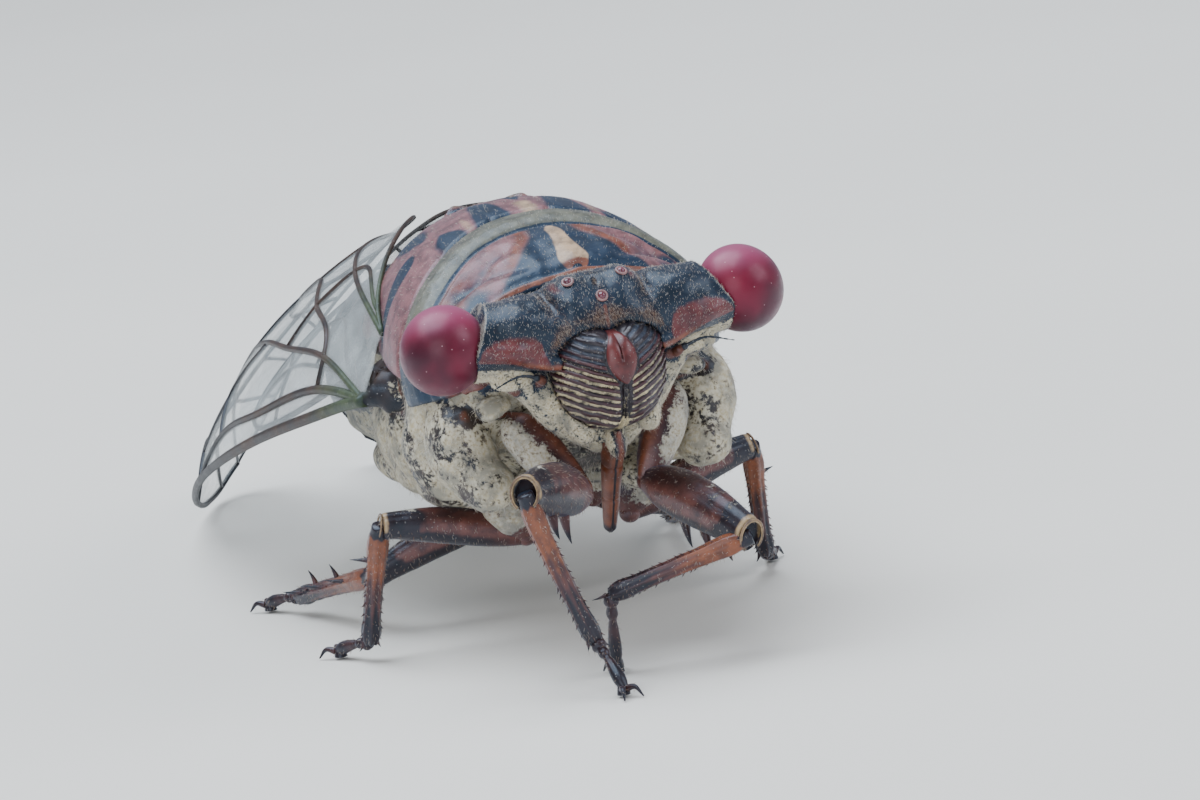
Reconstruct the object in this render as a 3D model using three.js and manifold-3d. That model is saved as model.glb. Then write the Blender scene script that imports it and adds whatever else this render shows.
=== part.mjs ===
// A life-size model of a large annual cicada. It stands on its six feet with its wings folded like a roof.
// Millimetres, +Z up, the head towards -Y. The animal is laid out from the point midway between the
// centres of its compound eyes, with the body axis falling gently towards the tail, and the finished
// group is then moved so that its origin is on the floor under the middle of the box around it.
import * as THREE from "three";
import { mergeVertices } from "three/addons/utils/BufferGeometryUtils.js";
import Module from "manifold-3d";

const wasm = await Module();
wasm.setup();

// Driving dimensions
const GAP = 0.3; // between any two pieces that meet
const EYE_HEIGHT = 13.5; // from the floor to the centres of the eyes
const FLOOR = -EYE_HEIGHT;
const EYE = { x: 6.05, y: 0.2, z: 0, rx: 1.75, ry: 1.72, rz: 1.72 };
const CLYPEUS = { y: -0.75, z: -2.2, rx: 2.15, ry: 2.1, rz: 2.25, back: 0.15, ridges: 9, ridgeHeight: 0.09 };
const HEAD_BACK = 1.3; // where the head ends against the prothorax
const PRONOTUM_BACK = 7.65;
const TRUNK_BACK = 15.5;
const WING = { y: 9, length: 42, run: 0.955, costaX: 7.2, costaZ: -3, tipX: 5.4, bow: 2.85, droop: 13 };
const WING_THICK = 0.5;
const VEIN_HEIGHT = 0.8;
const VEIN_WIDTH = 0.5;
const ROOF = { steep: 72, shallow: 5, width: 13 }; // slope of the folded wing in degrees, over its width
const HINDWING_DEPTH = VEIN_HEIGHT + GAP + 0.35;

// Half width, top, widest level and bottom of the trunk at each station along the body
const TRUNK = [
  { y: 1.6, half: 4.7, top: 1.2, level: -1.3, bottom: -3.7 },
  { y: 3.6, half: 6.0, top: 2.05, level: -1.8, bottom: -5.9 },
  { y: 5.9, half: 6.55, top: 2.85, level: -2.1, bottom: -7.4 },
  { y: 6.4, half: 6.95, top: 3.25, level: -2.2, bottom: -7.6 },
  { y: 7.6, half: 7.0, top: 3.5, level: -2.3, bottom: -7.8 },
  { y: 8.0, half: 6.15, top: 3.5, level: -2.3, bottom: -7.9 },
  { y: 10.0, half: 6.05, top: 3.65, level: -2.4, bottom: -8.0 },
  { y: 12.6, half: 5.85, top: 3.05, level: -2.6, bottom: -8.0 },
  { y: 14.4, half: 5.6, top: 1.9, level: -2.8, bottom: -7.9 },
  { y: TRUNK_BACK, half: 5.3, top: 1.0, level: -3.0, bottom: -7.7 },
];
const ABDOMEN = [
  { y: TRUNK_BACK + GAP, half: 5.2, top: 0.9, level: -3.2, bottom: -7.6 },
  { y: 19.5, half: 5.3, top: 0.7, level: -3.7, bottom: -7.9 },
  { y: 24.0, half: 4.7, top: -0.3, level: -4.5, bottom: -8.3 },
  { y: 28.0, half: 3.6, top: -2.0, level: -5.4, bottom: -8.6 },
  { y: 31.0, half: 2.3, top: -3.9, level: -6.2, bottom: -8.6 },
];
const ABDOMEN_RINGS = 8;
const RING_STEP = 0.22; // how far each ring's hind edge stands over the next one

const COLOURS = {
  cuticle: 0x15171c,
  eye: 0x8c1230,
  fascia: 0x9c5a48,
  collar: 0x8f8a72,
  wax: 0xc9c7bb,
  leg: 0x6e3b26,
  wing: 0xa9b3b8,
  beak: 0x5a2c1c,
};

// Solids and geometry

function solidOf(geometry) {
  const bare = geometry.clone();
  for (const name of ["normal", "uv"]) bare.deleteAttribute(name);
  const merged = mergeVertices(bare, 1e-4);
  const made = new wasm.Manifold(
    new wasm.Mesh({
      numProp: 3,
      vertProperties: new Float32Array(merged.attributes.position.array),
      triVerts: new Uint32Array(merged.index.array),
    }),
  );
  if (made.volume() >= 0) return made;
  const turned = merged.index.array.slice();
  for (let i = 0; i < turned.length; i += 3) [turned[i + 1], turned[i + 2]] = [turned[i + 2], turned[i + 1]];
  merged.setIndex(new THREE.BufferAttribute(turned, 1));
  return solidOf(merged);
}

function geometryOf(solid) {
  const mesh = solid.getMesh();
  const points = new Float32Array(mesh.numVert * 3);
  for (let i = 0; i < mesh.numVert; i++)
    points.set(mesh.vertProperties.subarray(i * mesh.numProp, i * mesh.numProp + 3), i * 3);
  const geometry = new THREE.BufferGeometry();
  geometry.setAttribute("position", new THREE.BufferAttribute(points, 3));
  geometry.setIndex(new THREE.BufferAttribute(mesh.triVerts, 1));
  geometry.computeVertexNormals();
  return geometry;
}

function largest(solid) {
  const bodies = solid.decompose().sort((a, b) => b.volume() - a.volume());
  return bodies[0];
}

function union(solids) {
  return solids.reduce((whole, next) => whole.add(next));
}

function cutBy(solid, cutters) {
  return largest(cutters.reduce((rest, cutter) => rest.subtract(cutter), solid));
}

function box(low, high) {
  const size = high.clone().sub(low);
  const geometry = new THREE.BoxGeometry(size.x, size.y, size.z);
  geometry.translate(...low.clone().add(high).multiplyScalar(0.5).toArray());
  return solidOf(geometry);
}

function ellipsoid(centre, radii, across = 16, down = 10) {
  const geometry = new THREE.SphereGeometry(1, across, down);
  geometry.scale(...radii);
  geometry.translate(...centre);
  return solidOf(geometry);
}

// A closed skin over rings of equally many points, fanned shut at both ends
function skinOver(rings) {
  const count = rings[0].length;
  const points = rings.flat();
  const faces = [];
  for (let i = 0; i + 1 < rings.length; i++)
    for (let j = 0; j < count; j++) {
      const a = i * count + j;
      const b = i * count + ((j + 1) % count);
      faces.push(a, b, b + count, a, b + count, a + count);
    }
  for (const start of [0, (rings.length - 1) * count]) {
    const middle = new THREE.Vector3();
    for (let j = 0; j < count; j++) middle.addScaledVector(points[start + j], 1 / count);
    points.push(middle);
    for (let j = 0; j < count; j++) {
      const pair = [start + j, start + ((j + 1) % count)];
      if (start === 0) pair.reverse();
      faces.push(points.length - 1, ...pair);
    }
  }
  const geometry = new THREE.BufferGeometry().setFromPoints(points);
  geometry.setIndex(faces);
  return geometry;
}

// Body cross-sections

function between(table, y) {
  const last = table.length - 1;
  let i = table.findIndex((station) => station.y > y) - 1;
  if (i < 0) i = y <= table[0].y ? 0 : last - 1;
  const [a, b] = [table[i], table[i + 1]];
  const t = THREE.MathUtils.clamp((y - a.y) / (b.y - a.y), 0, 1);
  const mixed = { y };
  for (const key of ["half", "top", "level", "bottom"]) mixed[key] = THREE.MathUtils.lerp(a[key], b[key], t);
  return mixed;
}

function bodyRing(station, grow, sides, y = station.y) {
  const ring = [];
  for (let j = 0; j < sides; j++) {
    const angle = (2 * Math.PI * (j + 0.5)) / sides;
    const [c, s] = [Math.cos(angle), Math.sin(angle)];
    const rise = s > 0 ? station.top - station.level : station.level - station.bottom;
    const x = Math.sign(c) * Math.abs(c) ** 0.88 * (station.half + grow);
    const z = station.level + Math.sign(s) * Math.abs(s) ** 0.95 * (rise + grow);
    ring.push(new THREE.Vector3(x, y, z));
  }
  return ring;
}

function trunk(grow = 0) {
  const rings = TRUNK.map((station, i) => {
    const end = i === 0 ? -grow : i === TRUNK.length - 1 ? grow : 0;
    return bodyRing(station, grow, 26, station.y + end);
  });
  return solidOf(skinOver(rings));
}

// The dorsal shields lie above two slanting planes that follow their side margins
function shieldSpace(yFront, yBack, zFront, zBack, grow = 0) {
  const outline = new THREE.Shape([
    new THREE.Vector2(yFront - grow, zFront - grow),
    new THREE.Vector2(yBack + grow, zBack - grow),
    new THREE.Vector2(yBack + grow, 9),
    new THREE.Vector2(yFront - grow, 9),
  ]);
  const geometry = new THREE.ExtrudeGeometry(outline, { depth: 30, bevelEnabled: false });
  geometry.applyMatrix4(
    new THREE.Matrix4().makeBasis(
      new THREE.Vector3(0, 1, 0),
      new THREE.Vector3(0, 0, 1),
      new THREE.Vector3(1, 0, 0),
    ),
  );
  geometry.translate(-15, 0, 0);
  return solidOf(geometry);
}

const pronotumSpace = (grow = 0) => shieldSpace(-1, PRONOTUM_BACK, -1.5, -3.3, grow);
const mesonotumSpace = (grow = 0) => shieldSpace(PRONOTUM_BACK + GAP, 18, -1.5, -0.6, grow);

// Limbs

// A tapering limb along a bowed line. radii lists [share of the length, radius]; flat narrows it sideways.
function limb(from, to, radii, { sides = 8, bow = [0, 0, 0], flat = 1, grow = 0, endGrow = grow } = {}) {
  const start = new THREE.Vector3(...from);
  const end = new THREE.Vector3(...to);
  const bend = new THREE.Vector3(...bow);
  const along = end.clone().sub(start).normalize();
  const side = new THREE.Vector3(0, 0, 1).cross(along);
  if (side.length() < 0.2) side.set(1, 0, 0);
  side.normalize();
  const up = along.clone().cross(side).normalize();
  const rings = radii.map(([share, radius], i) => {
    const centre = start.clone().lerp(end, share).addScaledVector(bend, 4 * share * (1 - share));
    if (i === 0) centre.addScaledVector(along, -endGrow);
    if (i === radii.length - 1) centre.addScaledVector(along, endGrow);
    return Array.from({ length: sides }, (_, j) => {
      const angle = (2 * Math.PI * j) / sides;
      return centre
        .clone()
        .addScaledVector(side, Math.cos(angle) * (radius * flat + grow))
        .addScaledVector(up, Math.sin(angle) * (radius + grow));
    });
  });
  return solidOf(skinOver(rings));
}

function spine(root, tip, radius) {
  const [a, b] = [new THREE.Vector3(...root), new THREE.Vector3(...tip)];
  const length = a.distanceTo(b);
  const geometry = new THREE.ConeGeometry(radius, length, 5, 1);
  geometry.translate(0, length / 2, 0);
  geometry.applyQuaternion(
    new THREE.Quaternion().setFromUnitVectors(new THREE.Vector3(0, 1, 0), b.clone().sub(a).normalize()),
  );
  geometry.translate(...a.toArray());
  return solidOf(geometry);
}

const onLine = (from, to, share) => from.map((value, i) => value + (to[i] - value) * share);
const moved = (point, by) => point.map((value, i) => value + by[i]);

// Head

const eyeSolid = (side, grow = 0) =>
  ellipsoid([side * EYE.x, EYE.y, EYE.z], [EYE.rx + grow, EYE.ry + grow, EYE.rz + grow], 20, 14);

// The swollen face plate, with transverse ridges on both sides of a median groove
function clypeusSolid(grow = 0) {
  const geometry = new THREE.SphereGeometry(1, 20, 27);
  const place = geometry.attributes.position;
  const point = new THREE.Vector3();
  for (let i = 0; i < place.count; i++) {
    point.fromBufferAttribute(place, i).normalize();
    const up = point.y; // the sphere's poles lie on its Y axis, which becomes Z below
    const ripple = Math.cos(up * Math.PI * CLYPEUS.ridges) * CLYPEUS.ridgeHeight;
    const groove = 0.12 * Math.exp(-((point.x / 0.12) ** 2));
    const fade = Math.sqrt(Math.max(0, 1 - up * up));
    const swell = grow ? grow + CLYPEUS.ridgeHeight : (ripple - groove) * fade;
    place.setXYZ(
      i,
      point.x * (CLYPEUS.rx + swell),
      -point.z * (CLYPEUS.ry + swell) + CLYPEUS.y,
      point.y * (CLYPEUS.rz + swell) + CLYPEUS.z,
    );
  }
  const front = box(new THREE.Vector3(-9, -9, -9), new THREE.Vector3(9, CLYPEUS.back + grow, 9));
  return solidOf(geometry).intersect(front);
}

function headRing(x) {
  const far = Math.min(1, Math.abs(x) / 5);
  const middle = 1 - far ** 0.8;
  const centre = { y: 0.25 - 0.45 * middle, z: -0.05 + 0.1 * middle };
  const radius = { y: 1.45 + 0.45 * middle, z: 1.2 + 0.75 * middle };
  return Array.from({ length: 16 }, (_, j) => {
    const angle = (2 * Math.PI * j) / 16;
    const slant = 0.35 * Math.cos(angle); // the front of the head hangs lower than its back
    return new THREE.Vector3(
      x,
      centre.y + Math.cos(angle) * radius.y,
      centre.z + Math.sin(angle) * radius.z + slant,
    );
  });
}

function headSolid() {
  const stations = [-6, -5, -4, -3, -2, -1.1, 0, 1.1, 2, 3, 4, 5, 6];
  const pieces = [
    solidOf(skinOver(stations.map(headRing))),
    ellipsoid([0, 0.55, -2.4], [3.5, 1.5, 2.7], 18, 12),
  ];
  for (const [x, y, z] of [
    [0, -1.42, 1.0],
    [1.05, -0.95, 1.6],
    [-1.05, -0.95, 1.6],
  ])
    pieces.push(ellipsoid([x, y, z], [0.32, 0.34, 0.32], 8, 6));
  for (const side of [-1, 1])
    pieces.push(limb([side * 2.4, -0.8, -0.85], [side * 4.9, -0.75, -0.7], [[0, 0.3], [0.5, 0.55], [1, 0.3]]));
  const front = box(new THREE.Vector3(-9, -9, -9), new THREE.Vector3(9, HEAD_BACK, 9));
  return cutBy(union(pieces).intersect(front), [eyeSolid(1, GAP), eyeSolid(-1, GAP), clypeusSolid(GAP)]);
}

function rostrumSolid(grow = 0) {
  const radii = [
    [0, 0.85],
    [0.25, 0.7],
    [0.45, 0.5],
    [0.8, 0.42],
    [1, 0.28],
  ];
  return limb([0, -0.1, -4.35], [0, 2.5, -9.0], radii, { bow: [0, 0.35, 0], grow });
}

function antennaSolid(side) {
  const radii = [
    [0, 0.36],
    [0.2, 0.34],
    [0.24, 0.25],
    [0.7, 0.2],
    [1, 0.06],
  ];
  return limb([side * 3.0, -0.7, -1.5], [side * 4.9, -2.2, -2.5], radii, { bow: [side * 0.15, 0, -0.15], sides: 6 });
}

// Wings

const shareOf = (u) => u / WING.length;

// The line that the leading edge follows along the side of the body
function costa(u, side) {
  const s = shareOf(u);
  const x = THREE.MathUtils.lerp(WING.costaX, WING.tipX, s) + WING.bow * Math.sin(Math.PI * Math.min(1, s));
  const z = WING.costaZ - WING.droop * Math.max(0, s) ** 1.35;
  return new THREE.Vector3(side * x, WING.y + u * WING.run, z);
}

// A flat wing point, u along the wing and v back from its leading edge, laid on the roof; depth is inwards
function onRoof(u, v, depth, side) {
  const turn = THREE.MathUtils.degToRad(ROOF.steep - ROOF.shallow) / ROOF.width;
  const steep = THREE.MathUtils.degToRad(ROOF.steep);
  const slope = steep - turn * v;
  const inward = (Math.sin(steep) - Math.sin(slope)) / turn + depth * Math.sin(slope);
  const rise = (Math.cos(slope) - Math.cos(steep)) / turn - depth * Math.cos(slope);
  return costa(u, side).add(new THREE.Vector3(-side * inward, 0, rise));
}

// Junctions of the wing's veins, in millimetres along the wing and back from its leading edge
const FOREWING = {
  junctions: {
    root: [0, 0], c1: [5, -0.35], c2: [12, -0.4], c3: [19, -0.25], node: [24, 0], c4: [29, 0.3], c5: [34, 0.8],
    c6: [38.5, 1.8], c7: [41, 3.1], tip: [42, 4.6], o1: [41.3, 6.3], o2: [39, 7.7], o3: [35.8, 9.1], o4: [32, 10.3],
    o5: [28, 11.3], o6: [24, 12.0], o7: [20.2, 12.2], anal: [16.6, 12.1], i1: [11.4, 11.3], i2: [7.2, 8.9],
    i3: [3.8, 6.0], i4: [1.4, 3.8], hinge: [0, 2.8],
    r1: [5, 0.75], r2: [12, 0.75], r3: [19, 0.95], b1: [5.2, 2.1], m1: [11, 3.4], m2: [16.2, 4.7], cu1: [9.9, 5.2],
    cu2: [15.4, 7.9], a1: [7.6, 6.5], a2: [13.4, 9.8], p1: [20.5, 3.0], p2: [21.8, 5.6], p3: [20.2, 8.2], q0: [25.5, 1.5],
    q1: [29.5, 3.0], q2: [30.8, 5.2], q3: [29.6, 7.2], q4: [26.4, 9.2], q5: [22.8, 10.6],
  },
  outline: "root c1 c2 c3 node c4 c5 c6 c7 tip o1 o2 o3 o4 o5 o6 o7 anal i1 i2 i3 i4 hinge",
  cells: [
    "root c1 c2 c3 node r3 r2 r1", "r1 r2 r3 p1 m2 m1 b1", "b1 m1 cu1", "root r1 b1 cu1 a1 i4 hinge",
    "m1 m2 p2 p3 cu2 cu1", "cu1 cu2 a2 a1", "i4 a1 a2 anal i1 i2 i3", "a2 cu2 p3 q5 o7 anal", "r3 node q0 p1",
    "m2 p1 q0 q1 q2 p2", "p2 q2 q3 q4 p3", "p3 q4 q5", "node c4 c5 q1 q0", "q1 c5 c6 c7", "q1 c7 tip q2",
    "q2 tip o1 o2", "q2 o2 o3 q3", "q3 o3 o4 q4", "q4 o4 o5", "q4 o5 o6 q5", "q5 o6 o7",
  ],
};
const HINDWING = {
  junctions: {
    root: [5.5, 1.7], c1: [10, 1.1], c2: [15, 1.1], c3: [19.5, 1.9], c4: [22.5, 3.6], tip: [23.4, 5.6], o1: [21.6, 7.6],
    o2: [18.6, 9.0], o3: [15, 9.6], o4: [11.5, 8.8], o5: [8.4, 7.0], hinge: [5.8, 4.2],
    m1: [11, 3.2], m2: [16.2, 4.2], m3: [15.4, 6.4], m4: [11, 5.8],
  },
  outline: "root c1 c2 c3 c4 tip o1 o2 o3 o4 o5 hinge",
  cells: ["root c1 c2 m2 m1", "m2 c2 c3 c4", "m2 c4 tip o1", "m3 m2 o1 o2", "m4 m1 m2 m3", "m4 m3 o2 o3",
    "hinge root m1 m4 o5", "m4 o3 o4 o5"],
};

const pathOf = (wing, names) => names.split(" ").map((name) => new THREE.Vector2(...wing.junctions[name]));

// A loop of points moved inwards, so that a strip of half a vein's width is left round it
function inset(loop, by) {
  const clockwise = THREE.ShapeUtils.isClockWise(loop);
  const turn = clockwise ? -1 : 1;
  return loop.map((point, i) => {
    const before = point.clone().sub(loop.at(i - 1)).normalize();
    const after = loop[(i + 1) % loop.length].clone().sub(point).normalize();
    const normal = new THREE.Vector2(-(before.y + after.y), before.x + after.x).normalize();
    const across = Math.max(0.45, normal.dot(new THREE.Vector2(-after.y, after.x)));
    return point.clone().addScaledVector(normal, (turn * by) / across);
  });
}

// The wing as one closed surface: a frame of veins with the membrane sunk between them on both faces
function wingSolid(wing, side, depth) {
  const outline = pathOf(wing, wing.outline);
  const cells = wing.cells.map((names) => inset(pathOf(wing, names), VEIN_WIDTH / 2));
  const points = [];
  const faces = [];
  const put = (loop, height) =>
    loop.map((point) => points.push(onRoof(point.x, point.y, depth - height, side)) - 1);
  const wall = (low, high) =>
    low.forEach((a, i) => {
      const b = low[(i + 1) % low.length];
      const [c, d] = [high[(i + 1) % low.length], high[i]];
      faces.push(a, b, c, a, c, d);
    });
  const cap = (ids, triangles, turned) =>
    triangles.forEach(([a, b, c]) => faces.push(...(turned ? [ids[a], ids[c], ids[b]] : [ids[a], ids[b], ids[c]])));

  const faceOut = (loop) => (THREE.ShapeUtils.isClockWise(loop) ? [...loop].reverse() : loop);
  const rim = faceOut(outline);
  const holes = cells.map(faceOut);
  const frame = THREE.ShapeUtils.triangulateShape(rim, holes);
  const veins = [VEIN_HEIGHT / 2, -VEIN_HEIGHT / 2].map((height) => [rim, ...holes].map((loop) => put(loop, height)));
  cap(veins[0].flat(), frame, false);
  cap(veins[1].flat(), frame, true);
  wall(veins[1][0], veins[0][0]);
  holes.forEach((loop, i) => {
    const membrane = THREE.ShapeUtils.triangulateShape(loop, []);
    const [upper, lower] = [put(loop, WING_THICK / 2), put(loop, -WING_THICK / 2)];
    cap(upper, membrane, false);
    cap(lower, membrane, true);
    wall(veins[0][i + 1], upper);
    wall(lower, veins[1][i + 1]);
  });
  const geometry = new THREE.BufferGeometry().setFromPoints(points);
  geometry.setIndex(faces);
  return solidOf(geometry);
}

function forewingSolid(side) {
  const thorax = trunk(GAP);
  const root = onRoof(1.2, 1.3, 0, side);
  const hinge = limb([side * 4.6, root.y + 0.1, root.z], [side * (Math.abs(root.x) + 0.3), root.y, root.z - 0.1], [
    [0, 0.9],
    [0.7, 0.9],
    [1, 0.5],
  ]);
  return cutBy(wingSolid(FOREWING, side, 0).add(hinge), [thorax]);
}

function hindwingSolid(side) {
  const root = onRoof(6.4, 2.9, HINDWING_DEPTH, side);
  const hinge = limb([side * 4.6, root.y - 0.4, root.z], [side * (Math.abs(root.x) + 0.1), root.y, root.z], [
    [0, 0.7],
    [0.7, 0.7],
    [1, 0.4],
  ]);
  return cutBy(wingSolid(HINDWING, side, HINDWING_DEPTH).add(hinge), [trunk(GAP), abdomenSolid(GAP)]);
}

// Abdomen

function abdomenSolid(grow = 0) {
  const first = ABDOMEN[0].y;
  const last = ABDOMEN[ABDOMEN.length - 1].y;
  const rings = [];
  for (let i = 0; i < ABDOMEN_RINGS; i++)
    for (const [share, step] of [
      [0.04, -RING_STEP / 2],
      [0.96, RING_STEP / 2],
    ]) {
      const y = first + ((i + share) * (last - first)) / ABDOMEN_RINGS;
      const end = i + share < 0.5 ? -grow : i + share > ABDOMEN_RINGS - 0.5 ? grow : 0;
      rings.push(bodyRing(between(ABDOMEN, y), grow ? grow + RING_STEP / 2 : step, 22, y + end));
    }
  return solidOf(skinOver(rings));
}

function abdomenTipSolid() {
  const end = ABDOMEN[ABDOMEN.length - 1];
  const from = [0, end.y + GAP / 2, (end.top + end.bottom) / 2];
  const radii = [
    [0, 2.0],
    [0.35, 1.7],
    [0.75, 1.0],
    [1, 0.35],
  ];
  const tip = limb(from, [0, end.y + 3.1, end.level - 1.2], radii, { flat: 0.95, sides: 12 });
  return cutBy(tip, [abdomenSolid(GAP)]);
}

function operculumSolid(side) {
  const station = between(ABDOMEN, 17.6);
  const plate = ellipsoid([side * 2.7, 16.9, station.bottom + 0.35], [2.3, 3.4, 1.25], 16, 8);
  return cutBy(plate, [trunk(GAP), abdomenSolid(GAP)]);
}

// Legs

const FORE_TROCHANTER = [1.35, 0.75, -6.9];
const LEGS = {
  front_right: {
    hip: [-3.5, 2.3, -3.6], trochanter: [-1.35, 0.75, -6.9], knee: [-5.2, -4.6, -5.25], ankle: [-3.15, -4.0, -11.6],
    toe: [-2.9, -5.9, -13.15], coxa: 0.85, femur: 1.0, tibia: 0.48, femurSpines: 3, tibiaSpines: 0,
  },
  front_left: {
    hip: [3.5, 2.3, -3.6], trochanter: FORE_TROCHANTER, knee: [3.3, -5.0, -8.65], ankle: [-2.0, -3.0, -10.15],
    toe: [-1.9, -2.0, -13.15], coxa: 0.85, femur: 1.0, tibia: 0.48, femurSpines: 3, tibiaSpines: 0,
  },
};
for (const [name, side] of [
  ["right", -1],
  ["left", 1],
]) {
  LEGS["middle_" + name] = {
    hip: [side * 3.1, 7.0, -7.0], trochanter: [side * 2.2, 6.5, -9.2], knee: [side * 7.9, 7.1, -7.7],
    ankle: [side * 8.5, 9.2, -12.7], toe: [side * 9.4, 11.2, -13.15], coxa: 1.15, femur: 0.72, tibia: 0.45,
    femurSpines: 0, tibiaSpines: 2,
  };
  LEGS["hind_" + name] = {
    hip: [side * 3.0, 11.4, -7.0], trochanter: [side * 2.3, 11.5, -9.3], knee: [side * 6.9, 13.0, -10.9],
    ankle: [side * 8.3, 20.6, -12.7], toe: [side * 9.2, 22.6, -13.15], coxa: 1.15, femur: 0.7, tibia: 0.45,
    femurSpines: 0, tibiaSpines: 5,
  };
}

const COXA_SHAPE = [[0, 0.8], [0.3, 1], [0.75, 0.9], [1, 0.62]];
const FEMUR_SHAPE = [[0, 0.5], [0.12, 0.8], [0.4, 1], [0.75, 0.85], [0.93, 0.72], [1, 0.45]];
const TIBIA_SHAPE = [[0, 0.95], [0.08, 1.1], [0.3, 0.9], [0.8, 0.95], [0.97, 1.1], [1, 0.8]];
const scaled = (shape, radius) => shape.map(([share, r]) => [share, r * radius]);

const coxaOf = (leg, grow = 0) => limb(leg.hip, leg.trochanter, scaled(COXA_SHAPE, leg.coxa), { grow });
const femurStart = (leg) => onLine(leg.trochanter, leg.knee, 0.02);

function femurOf(leg, grow = 0) {
  const from = femurStart(leg);
  const bow = [0, 0, 0.25];
  const whole = limb(from, leg.knee, scaled(FEMUR_SHAPE, leg.femur), { bow, flat: 0.82, grow, sides: 10 });
  if (grow) return whole;
  const spines = Array.from({ length: leg.femurSpines }, (_, i) => {
    const share = 0.35 + 0.2 * i;
    const root = moved(onLine(from, leg.knee, share), [0, 0, -0.35]);
    return spine(root, moved(root, [0, -0.45, -1.3 + 0.15 * i]), 0.3);
  });
  return union([whole, ...spines]);
}

function tibiaOf(leg, grow = 0) {
  const bow = [0, leg.tibiaSpines ? 0.15 : 0, 0];
  const whole = limb(leg.knee, leg.ankle, scaled(TIBIA_SHAPE, leg.tibia), { bow, grow });
  if (grow) return whole;
  const outward = Math.sign(leg.ankle[0]);
  const spines = Array.from({ length: leg.tibiaSpines }, (_, i) => {
    const root = onLine(leg.knee, leg.ankle, 0.3 + 0.14 * i);
    return spine(root, moved(root, [outward * (i % 2 ? 0.25 : 0.95), i % 2 ? 0.25 : 0.4, i % 2 ? 0.9 : 0.2]), 0.25);
  });
  return union([whole, ...spines]);
}

// The foot: three joints in a row, a sole on the floor, and two claws
function tarsusOf(leg) {
  const ankle = leg.ankle;
  const along = new THREE.Vector3(...leg.toe).sub(new THREE.Vector3(...ankle));
  const side = new THREE.Vector3(along.y, -along.x, 0).normalize();
  const radii = [[0, 0.3], [0.15, 0.38], [0.3, 0.29], [0.45, 0.37], [0.6, 0.29], [0.9, 0.4], [1, 0.26]];
  const pieces = [limb(ankle, leg.toe, radii)];
  const level = new THREE.Vector3(along.x, along.y, 0).normalize();
  for (const turn of [-1, 1]) {
    const tip = new THREE.Vector3(...leg.toe).addScaledVector(level, 0.75).addScaledVector(side, 0.42 * turn);
    tip.z = FLOOR + 0.12;
    pieces.push(spine(leg.toe, tip.toArray(), 0.24));
  }
  const heel = onLine(ankle, leg.toe, 0.92);
  pieces.push(limb([heel[0], heel[1], heel[2]], [heel[0], heel[1], FLOOR - 0.2], [[0, 0.3], [1, 0.42]]));
  const ground = box(new THREE.Vector3(-30, -30, FLOOR - 9), new THREE.Vector3(30, 60, FLOOR));
  return union(pieces).subtract(ground);
}

// Assembly

const cicada = new THREE.Group();
const finishes = Object.fromEntries(
  Object.entries(COLOURS).map(([name, color]) => [
    name,
    new THREE.MeshStandardMaterial({ name, color, roughness: name === "eye" ? 0.2 : 0.5, metalness: 0 }),
  ]),
);

function add(name, solid, finish) {
  const mesh = new THREE.Mesh(geometryOf(solid), finishes[finish]);
  mesh.name = name;
  cicada.add(mesh);
}

const SIDES = [
  ["right", -1],
  ["left", 1],
];
const head = headSolid();
add("head", head, "cuticle");
add("clypeus", clypeusSolid(), "cuticle");
for (const [name, side] of SIDES) {
  add("eye_" + name, eyeSolid(side), "eye");
  add("antenna_" + name, cutBy(antennaSolid(side), [headGrown()]), "cuticle");
}

function headGrown() {
  const stations = [-6, -4, -2, 0, 2, 4, 6];
  return solidOf(skinOver(stations.map((x) => headRing(x).map((p) => p.add(new THREE.Vector3(0, -0.3, -0.3))))));
}

// Thorax: the two dorsal shields with the cross on the second, and the waxy block beneath them
const cross = SIDES.map(([, side]) =>
  limb([side * 1.9, 11.9, 3.0], [-side * 2.1, 15.1, 1.35], [[0, 0.3], [0.5, 0.65], [1, 0.3]], { bow: [0, 0, 0.35] }),
);
const pronotum = trunk().intersect(pronotumSpace());
const backs = box(new THREE.Vector3(-9, PRONOTUM_BACK + GAP, -9), new THREE.Vector3(9, TRUNK_BACK, 9));
const mesonotum = union([trunk(), ...cross]).intersect(mesonotumSpace()).intersect(backs);
const thorax = cutBy(trunk(), [pronotumSpace(GAP), mesonotumSpace(GAP)]);
add("pronotum", largest(pronotum), "fascia");
add("mesonotum", largest(mesonotum), "fascia");

const legEntries = Object.entries(LEGS);
add("thorax", thorax, "wax");
add("rostrum", cutBy(rostrumSolid(), [clypeusSolid(GAP), trunk(GAP), headLower()]), "beak");

function headLower() {
  return ellipsoid([0, 0.55, -2.4], [3.5 + GAP, 1.5 + GAP, 2.7 + GAP], 18, 12);
}

add("abdomen", abdomenSolid(), "cuticle");
add("abdomen_tip", abdomenTipSolid(), "cuticle");
for (const [name, side] of SIDES) {
  add("operculum_" + name, operculumSolid(side), "wax");
  add("forewing_" + name, forewingSolid(side), "wing");
  add("hindwing_" + name, hindwingSolid(side), "wing");
}
for (const [name, leg] of legEntries) {
  const coxa = cutBy(coxaOf(leg), [trunk(GAP), headLower(), rostrumSolid(GAP)]);
  const femur = cutBy(femurOf(leg), [trunk(GAP), coxaOf(leg, GAP), rostrumSolid(GAP)]);
  add("coxa_" + name, coxa, "wax");
  add("femur_" + name, femur, "leg");
  add("tibia_" + name, cutBy(tibiaOf(leg), [femurOf(leg, GAP)]), "leg");
  add("tarsus_" + name, cutBy(tarsusOf(leg), [tibiaOf(leg, GAP)]), "leg");
}

const reach = new THREE.Box3().setFromObject(cicada);
const middle = reach.getCenter(new THREE.Vector3());
cicada.position.set(-middle.x, -middle.y, -reach.min.z);

export default cicada;
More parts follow.
